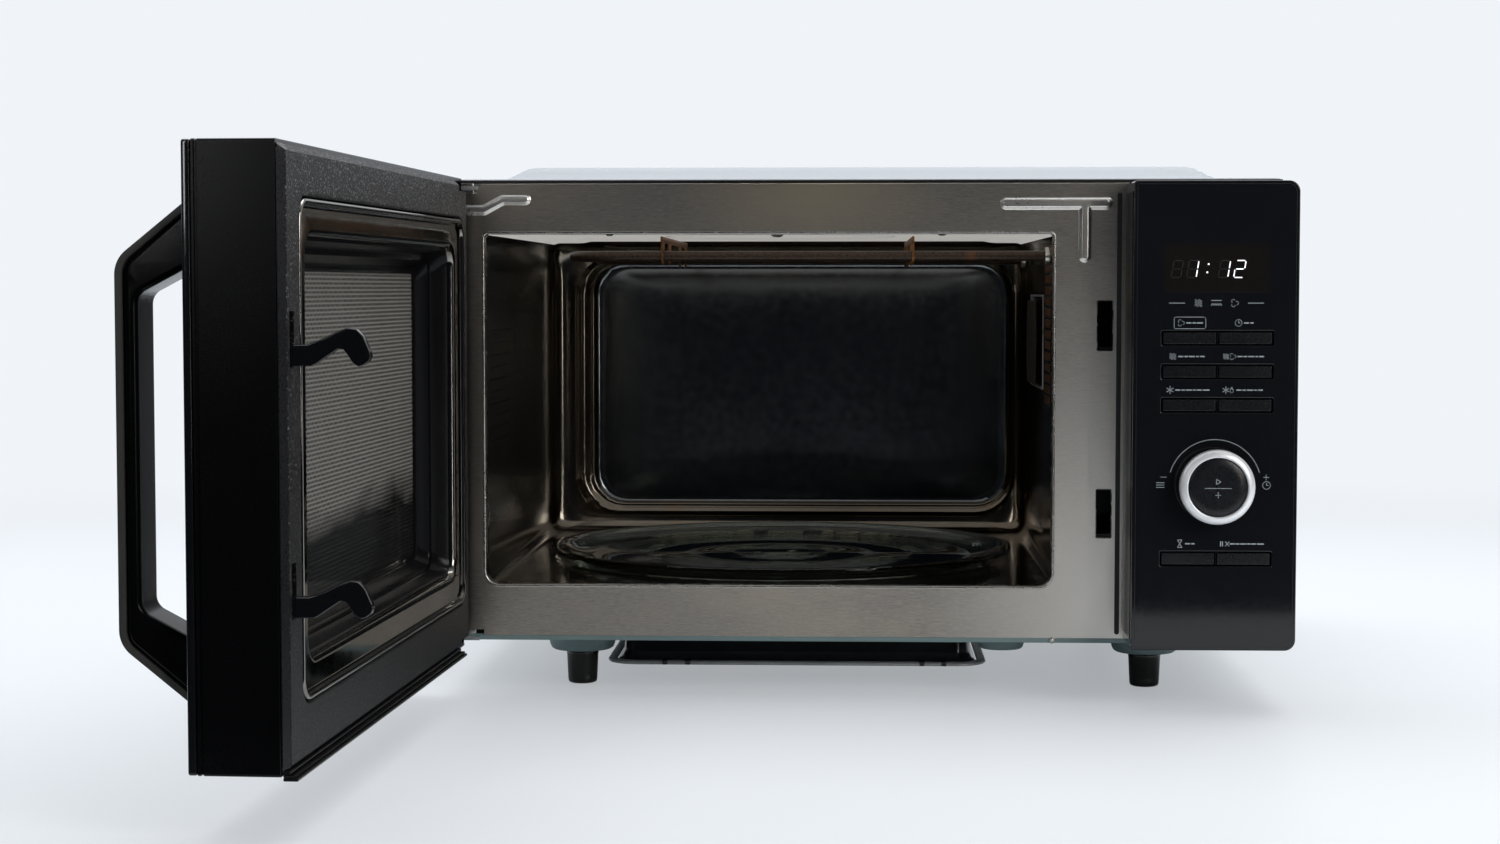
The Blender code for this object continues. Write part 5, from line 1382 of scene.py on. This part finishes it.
def make_drawn_panel():
    """Polished drawn steel between the textured frame and the window."""
    face = COVER_HIGH.y
    outer = profile_ring(RECESS, 0.012, ((-0.0004, face - 0.0030), (-0.0006, face - 0.0004),
                                         (-0.0012, face + 0.0003), (-0.0022, face + 0.0004),
                                         (-0.0030, face - 0.0002), (-0.0036, face - 0.0014),
                                         (-0.0044, face - 0.0020), (-0.0052, face - 0.0021)), 6)
    inner = profile_ring(RECESS_IN, 0.012, ((0.0026, face - 0.0021), (0.0016, face - 0.0022),
                                            (0.0004, face - 0.0027), (-0.0006, face - 0.0040),
                                            (-0.0010, face - 0.0060), (0.0000, face - 0.0062)), 6)
    publish("drawn_steel_frame", skin("drawn_steel_frame", outer + inner, loop=True), POLISHED,
            "door", replaces=("door_inner_panel",), sharp=50)
    deep = grown(WINDOW, 0.0012)
    rings = profile_ring(RECESS_IN, 0.012, ((0.0, face - 0.0058), (-0.0012, face - 0.0062),
                                      (-0.0026, face - 0.0064), (-0.0034, face - 0.0080)), 6)
    rings += profile_ring(tuple(a + (b - a) * 0.45 for a, b in zip(RECESS_IN, deep)), 0.011, (
        (0.0008, -0.0058), (0.0, -0.0062), (-0.0030, -0.0064), (-0.0036, -0.0074)), 6)
    rings += profile_ring(deep, 0.009, ((0.0, -0.0122), (-0.0006, -0.0128), (-0.0030, -0.0128),
                                        (-0.0030, -0.0140), (0.004, -0.0140)), 6)
    rings += profile_ring(RECESS_IN, 0.012, ((0.0, -0.0100), (0.0006, face - 0.0070)), 6)
    publish("window_surround", skin("window_surround", rings, loop=True), DEEP,
            "door", sharp=50)
    pane = plate_mesh("inner_window_pane",
                      [corner_ring(outline("door_inner_glass", DOOR), 0.008, 5)], 0.0022, 0.0003,
                      at=(0, middle_of("door_inner_glass", DOOR)[1], 0))
    publish("inner_window_pane", pane, PANE, "door",
            replaces=("door_inner_glass",), flat=True)
    publish("perforated_screen", screen_mesh(grown(WINDOW, -0.0030), SCREEN_AT), SCREEN,
            "door")
    border = plate_mesh("screen_border", [corner_ring(grown(WINDOW, 0.006), 0.010, 4),
                                          corner_ring(grown(WINDOW, -0.0030), 0.004, 4)], 0.0006,
                        0.0001, at=(0, -0.0139, 0))
    publish("screen_border", border, ENAMEL, "door", flat=True)


def screen_mesh(rect, depth):
    """Sheet of hexagonal cells, each with a hexagonal hole."""
    pitch, hole = 0.0026, 0.00088
    x0, z0, x1, z1 = rect
    high = pitch * math.sqrt(3) / 2
    columns, rows = int((x1 - x0) / pitch), int((z1 - z0) / high)
    start_x = (x0 + x1) / 2 - (columns - 0.5) * pitch / 2
    start_z = (z0 + z1) / 2 - (rows - 1) * high / 2
    corner = pitch / math.sqrt(3)
    verts, faces, index = [], [], {}

    def vert(x, z):
        key = (round(x * 2e5), round(z * 2e5))
        if key not in index:
            index[key] = len(verts)
            verts.append((x, depth, z))
        return index[key]

    for row in range(rows):
        for column in range(columns):
            cx = start_x + (column + 0.5 * (row % 2)) * pitch
            cz = start_z + row * high
            ring_out, ring_in = [], []
            for step in range(6):
                ring_out.append(vert(*toward(cx, cz, corner, 30 + 60 * step)))
                ring_in.append(vert(*toward(cx, cz, hole, 30 + 60 * step)))
            for step in range(6):
                after = (step + 1) % 6
                faces.append((ring_out[step], ring_out[after], ring_in[after], ring_in[step]))
    return mesh_of("perforated_screen", verts, faces)


def fillet(before, corner, after, radius):
    """Points of an arc that rounds a corner between two straight stretches."""
    steps = 8
    corner, before, after = Vector(corner), Vector(before), Vector(after)
    first, second = (before - corner).normalized(), (after - corner).normalized()
    half = first.angle(second) / 2
    reach = radius / math.tan(half)
    centre = corner + (first + second).normalized() * (radius / math.sin(half))
    start, end = corner + first * reach - centre, corner + second * reach - centre
    return [tuple(centre + start.lerp(end, step / steps).normalized() * radius)
            for step in range(steps + 1)]


HANDLE_LOW, HANDLE_HIGH = extent("door_handle", DOOR)
TRIM_LOW, TRIM_HIGH = extent("handle_trim", DOOR)
HANDLE_OUT, HANDLE_MIDDLE = TRIM_HIGH.y - TRIM_LOW.y, (TRIM_LOW.z + TRIM_HIGH.z) / 2
HANDLE_BASE = HANDLE_HIGH.y


def bow(inset, radius):
    """Outline of the handle seen from its side, as (distance from the door, height)."""
    foot, corner, out = 0.1155 - 1.25 * inset, 0.0875 - 0.45 * inset, HANDLE_OUT - inset
    top, bottom = HANDLE_MIDDLE + foot, HANDLE_MIDDLE - foot
    high, low = HANDLE_MIDDLE + corner, HANDLE_MIDDLE - corner
    return [(0.0, bottom), *fillet((0.0, bottom), (out, low), (out, high), radius),
            *fillet((out, low), (out, high), (0.0, top), radius), (0.0, top)]


def grip_inside():
    """Finger opening behind the grip, in the same way."""
    clear, foot, corner = HANDLE_OUT - 0.0102, 0.0847, 0.0716
    top, bottom = HANDLE_MIDDLE + foot, HANDLE_MIDDLE - foot
    high, low = HANDLE_MIDDLE + corner, HANDLE_MIDDLE - corner
    return [(0.0, top), *fillet((0.0, top), (clear, high), (clear, low), 0.007),
            *fillet((clear, high), (clear, low), (0.0, bottom), 0.007), (0.0, bottom)]


def make_handle():
    middle = middle_of("door_handle", DOOR)[0]
    width = HANDLE_HIGH.x - HANDLE_LOW.x

    def behind(points):
        return [(HANDLE_BASE - outward, height) for outward, height in points]

    grip = behind(bow(0.0038, 0.010) + grip_inside())
    core = plate_mesh("grip", [grip], width, 0.0028, "yz", (middle, 0, 0), segments=4)
    publish("handle_grip", core, DEEP, "door", replaces=("door_handle",),
            sharp=40, flat=True)
    strip = behind(bow(0.0, 0.014) + bow(0.0035, 0.0105)[::-1])
    trim = plate_mesh("handle_strip", [strip], width, 0.0005, "yz", (middle, 0, 0))
    publish("handle_strip", trim, TRIM, "door", replaces=("handle_trim",),
            sharp=35, flat=True)


def make_latch():
    # outline of a hook in millimetres: along from the cover's face, up from its base
    hook = [(0, 8.6), (7.5, 8.6), (15, 11.4), (22, 14.8), (25.5, 15.9), (30, 15.4), (33.4, 12),
            (36.2, 5.8), (36.5, 3.4), (35.6, 1.2), (33.0, -0.7), (30.6, -1.2), (28.0, 0.6),
            (25.6, 4.4), (23.8, 6.4), (21.6, 6.6), (17, 3.6), (11.1, -0.4), (9, -1.2), (0, -1.2)]
    bar_out, bar_in = -0.0180, -0.0070
    low, high = extent("latch_hook_bar", DOOR)
    points = [(bar_out, low.z), (bar_out, high.z), (bar_in, high.z)]
    for base in HOOK_Z:
        for along, up in hook:
            reach = bar_in if along == 0 else COVER_HIGH.y + along / 1000
            points.append((reach, base + up / 1000))
    points.append((bar_in, low.z))
    mesh = plate_mesh("hook_bar", [points], high.x - low.x, 0.0007, "yz", (HOOK_AT, 0, 0),
                      segments=3)
    publish("hook_bar", mesh, GLOSS, "latch",
            replaces=("latch_hook_bar",), sharp=35, flat=True)


# ------------------------------------------------------------------ carried-over CAD nodes
def finish_inner_nodes():
    repaint(ZINC, "magnetron", "waveguide", "convection_housing", "turntable_motor", bevel=0.0003)
    repaint(IRON, "hv_transformer", "fan_motor", "convection_motor", bevel=0.0006)
    repaint(BOARD, "control_board", bevel=0.0002)
    repaint(SATIN, "latch_board", "upper_interlock_switch", "lower_interlock_switch", bevel=0.0003)
    repaint(MATT, "cord_gland", bevel=0.0005)
    repaint(WHITE, "oven_lamp", "cooling_fan_blade", "turntable_coupler", "roller_ring",
            "roller_1", "roller_2", "roller_3", bevel=0.0003)
    repaint(ALUMINIUM, "convection_impeller", bevel=0.0002)
    repaint(ZINC, "latch_spring")


# ------------------------------------------------------------------ stage, light and camera
BACKDROP = (0.873, 0.905, 0.945, 1)


def make_stage():
    """Pale floor that fades into the backdrop and is dark in mirrors in front of the oven."""
    mesh = bpy.data.meshes.new("floor")
    shape = bmesh.new()
    bmesh.ops.create_grid(shape, x_segments=8, y_segments=8, size=9.0)
    shape.to_mesh(mesh)
    shape.free()
    floor = placed("pale_floor", mesh)
    floor.location = (0, 0, -0.0002)
    made, tree, shader = nodes_of("pale_floor")
    tone = blend_colour(tree, noise(tree, 1.2, detail=2.0), (0.79, 0.82, 0.85), (0.83, 0.86, 0.89))
    feed(tree, shader, {"Base Color": tone, "Roughness": 0.40, "Specular IOR Level": 0.25})
    far = add_node(tree, "ShaderNodeVectorMath", {0: position(tree)}, operation="LENGTH")
    fade = add_node(tree, "ShaderNodeMapRange", {"Value": far.outputs["Value"], "From Min": 0.55,
                                                 "From Max": 1.9}, interpolation_type="SMOOTHSTEP")
    seen = add_node(tree, "ShaderNodeLightPath").outputs["Is Camera Ray"]
    pale = calculate(tree, "MAXIMUM", fade.outputs[0], calculate(tree, "MULTIPLY", seen, 0.42))
    glow = add_node(tree, "ShaderNodeEmission", {"Color": BACKDROP, "Strength": 1.0})
    mix = add_node(tree, "ShaderNodeMixShader", {0: pale, 1: shader.outputs[0], 2: glow.outputs[0]})
    unlit = ranged(tree, position(tree, "Y"), 1.0, 0.0, -0.50, -0.47)
    hidden = calculate(tree, "MULTIPLY", unlit, calculate(tree, "SUBTRACT", 1.0, seen))
    dark = add_node(tree, "ShaderNodeEmission", {"Color": (0.010, 0.012, 0.015, 1)})
    final = add_node(tree, "ShaderNodeMixShader", {0: hidden, 1: mix.outputs[0],
                                                   2: dark.outputs[0]})
    feed(tree, tree.nodes["Material Output"], {"Surface": final.outputs[0]})
    mesh.materials.append(made)


def make_world():
    """Pale studio: bright behind and above, dark towards the camera side."""
    world = bpy.data.worlds.new("studio")
    bpy.context.scene.world = world
    world.use_nodes = True
    tree = world.node_tree
    for node in list(tree.nodes):
        tree.nodes.remove(node)
    behind = ranged(tree, position(tree, "Y", "Generated"), 0.0, 1.0, -0.10, 0.60)
    overhead = ranged(tree, position(tree, "Z", "Generated"), 0.0, 1.0, 0.30, 0.95)
    rearward = ranged(tree, position(tree, "Y", "Generated"), 0.0, 1.0, -0.60, 0.10)
    level = calculate(tree, "MAXIMUM", behind, calculate(tree, "MULTIPLY", overhead, rearward))
    tone = blend_colour(tree, level, (0.012, 0.014, 0.018), (0.80, 0.84, 0.88))
    dome = add_node(tree, "ShaderNodeBackground", {"Color": tone, "Strength": 0.9})
    backdrop = add_node(tree, "ShaderNodeBackground", {"Color": BACKDROP, "Strength": 1.0})
    seen = add_node(tree, "ShaderNodeLightPath").outputs["Is Camera Ray"]
    mix = add_node(tree, "ShaderNodeMixShader", {0: seen, 1: dome.outputs[0],
                                                 2: backdrop.outputs[0]})
    add_node(tree, "ShaderNodeOutputWorld", {"Surface": mix.outputs[0]})


def make_light(name, at, target, size, power, colour):
    data = bpy.data.lights.new(name, "AREA")
    data.shape = "RECTANGLE"
    data.size, data.size_y = size
    data.energy = power
    data.color = colour
    light = placed(name, data)
    light.location = at
    aim = Vector(target) - Vector(at)
    light.rotation_euler = aim.to_track_quat("-Z", "Y").to_euler()
    light.visible_camera = False


def make_camera():
    data = bpy.data.cameras.new("camera")
    data.lens = 59.51
    data.sensor_width = 36.0
    camera = placed("camera", data)
    camera.location = CAB @ Vector((-0.0048, -1.5088, 0.2499))
    camera.rotation_euler = (math.radians(86.90), 0, math.radians(2.33))
    bpy.context.scene.camera = camera


make_camera()
make_world()
make_stage()
for light in (
        ("top_softbox", (0.1, 0.60, 1.8), (0.05, 0.1, 0.1), (2.2, 1.2), 32, (0.97, 0.985, 1.0)),
        ("right_softbox", (1.35, -1.25, 0.95), (0.1, 0.0, 0.2), (0.8, 1.0), 15, (1.0, 0.98, 0.95)),
        ("left_softbox", (-1.9, 0.3, 1.0), (-0.2, 0.0, 0.1), (0.9, 1.2), 10, (0.96, 0.98, 1.0)),
        ("right_strip", (0.95, -1.55, 0.55), (0.0, 0.1, 0.18), (0.07, 1.0), 2.8, (1.0, 0.97, 0.93)),
        ("left_strip", (-0.80, -1.75, 0.75), (0.0, 0.1, 0.18), (0.07, 0.9), 2.0, (0.97, 0.98, 1.0)),
):
    make_light(*light)
make_liner()
make_liner_holes()
make_front_plate()
make_wrapper()
make_back_panel()
make_base()
make_feet()
make_pan()
make_hinges()
make_panel()
make_print()
make_display()
make_dial()
make_heater()
make_cavity_fittings()
make_tray()
make_door_box()
make_door_front()
make_door_cover()
make_drawn_panel()
make_handle()
make_latch()
finish_inner_nodes()
bpy.context.scene.view_settings.view_transform = "Standard"

bpy.context.view_layer.update()
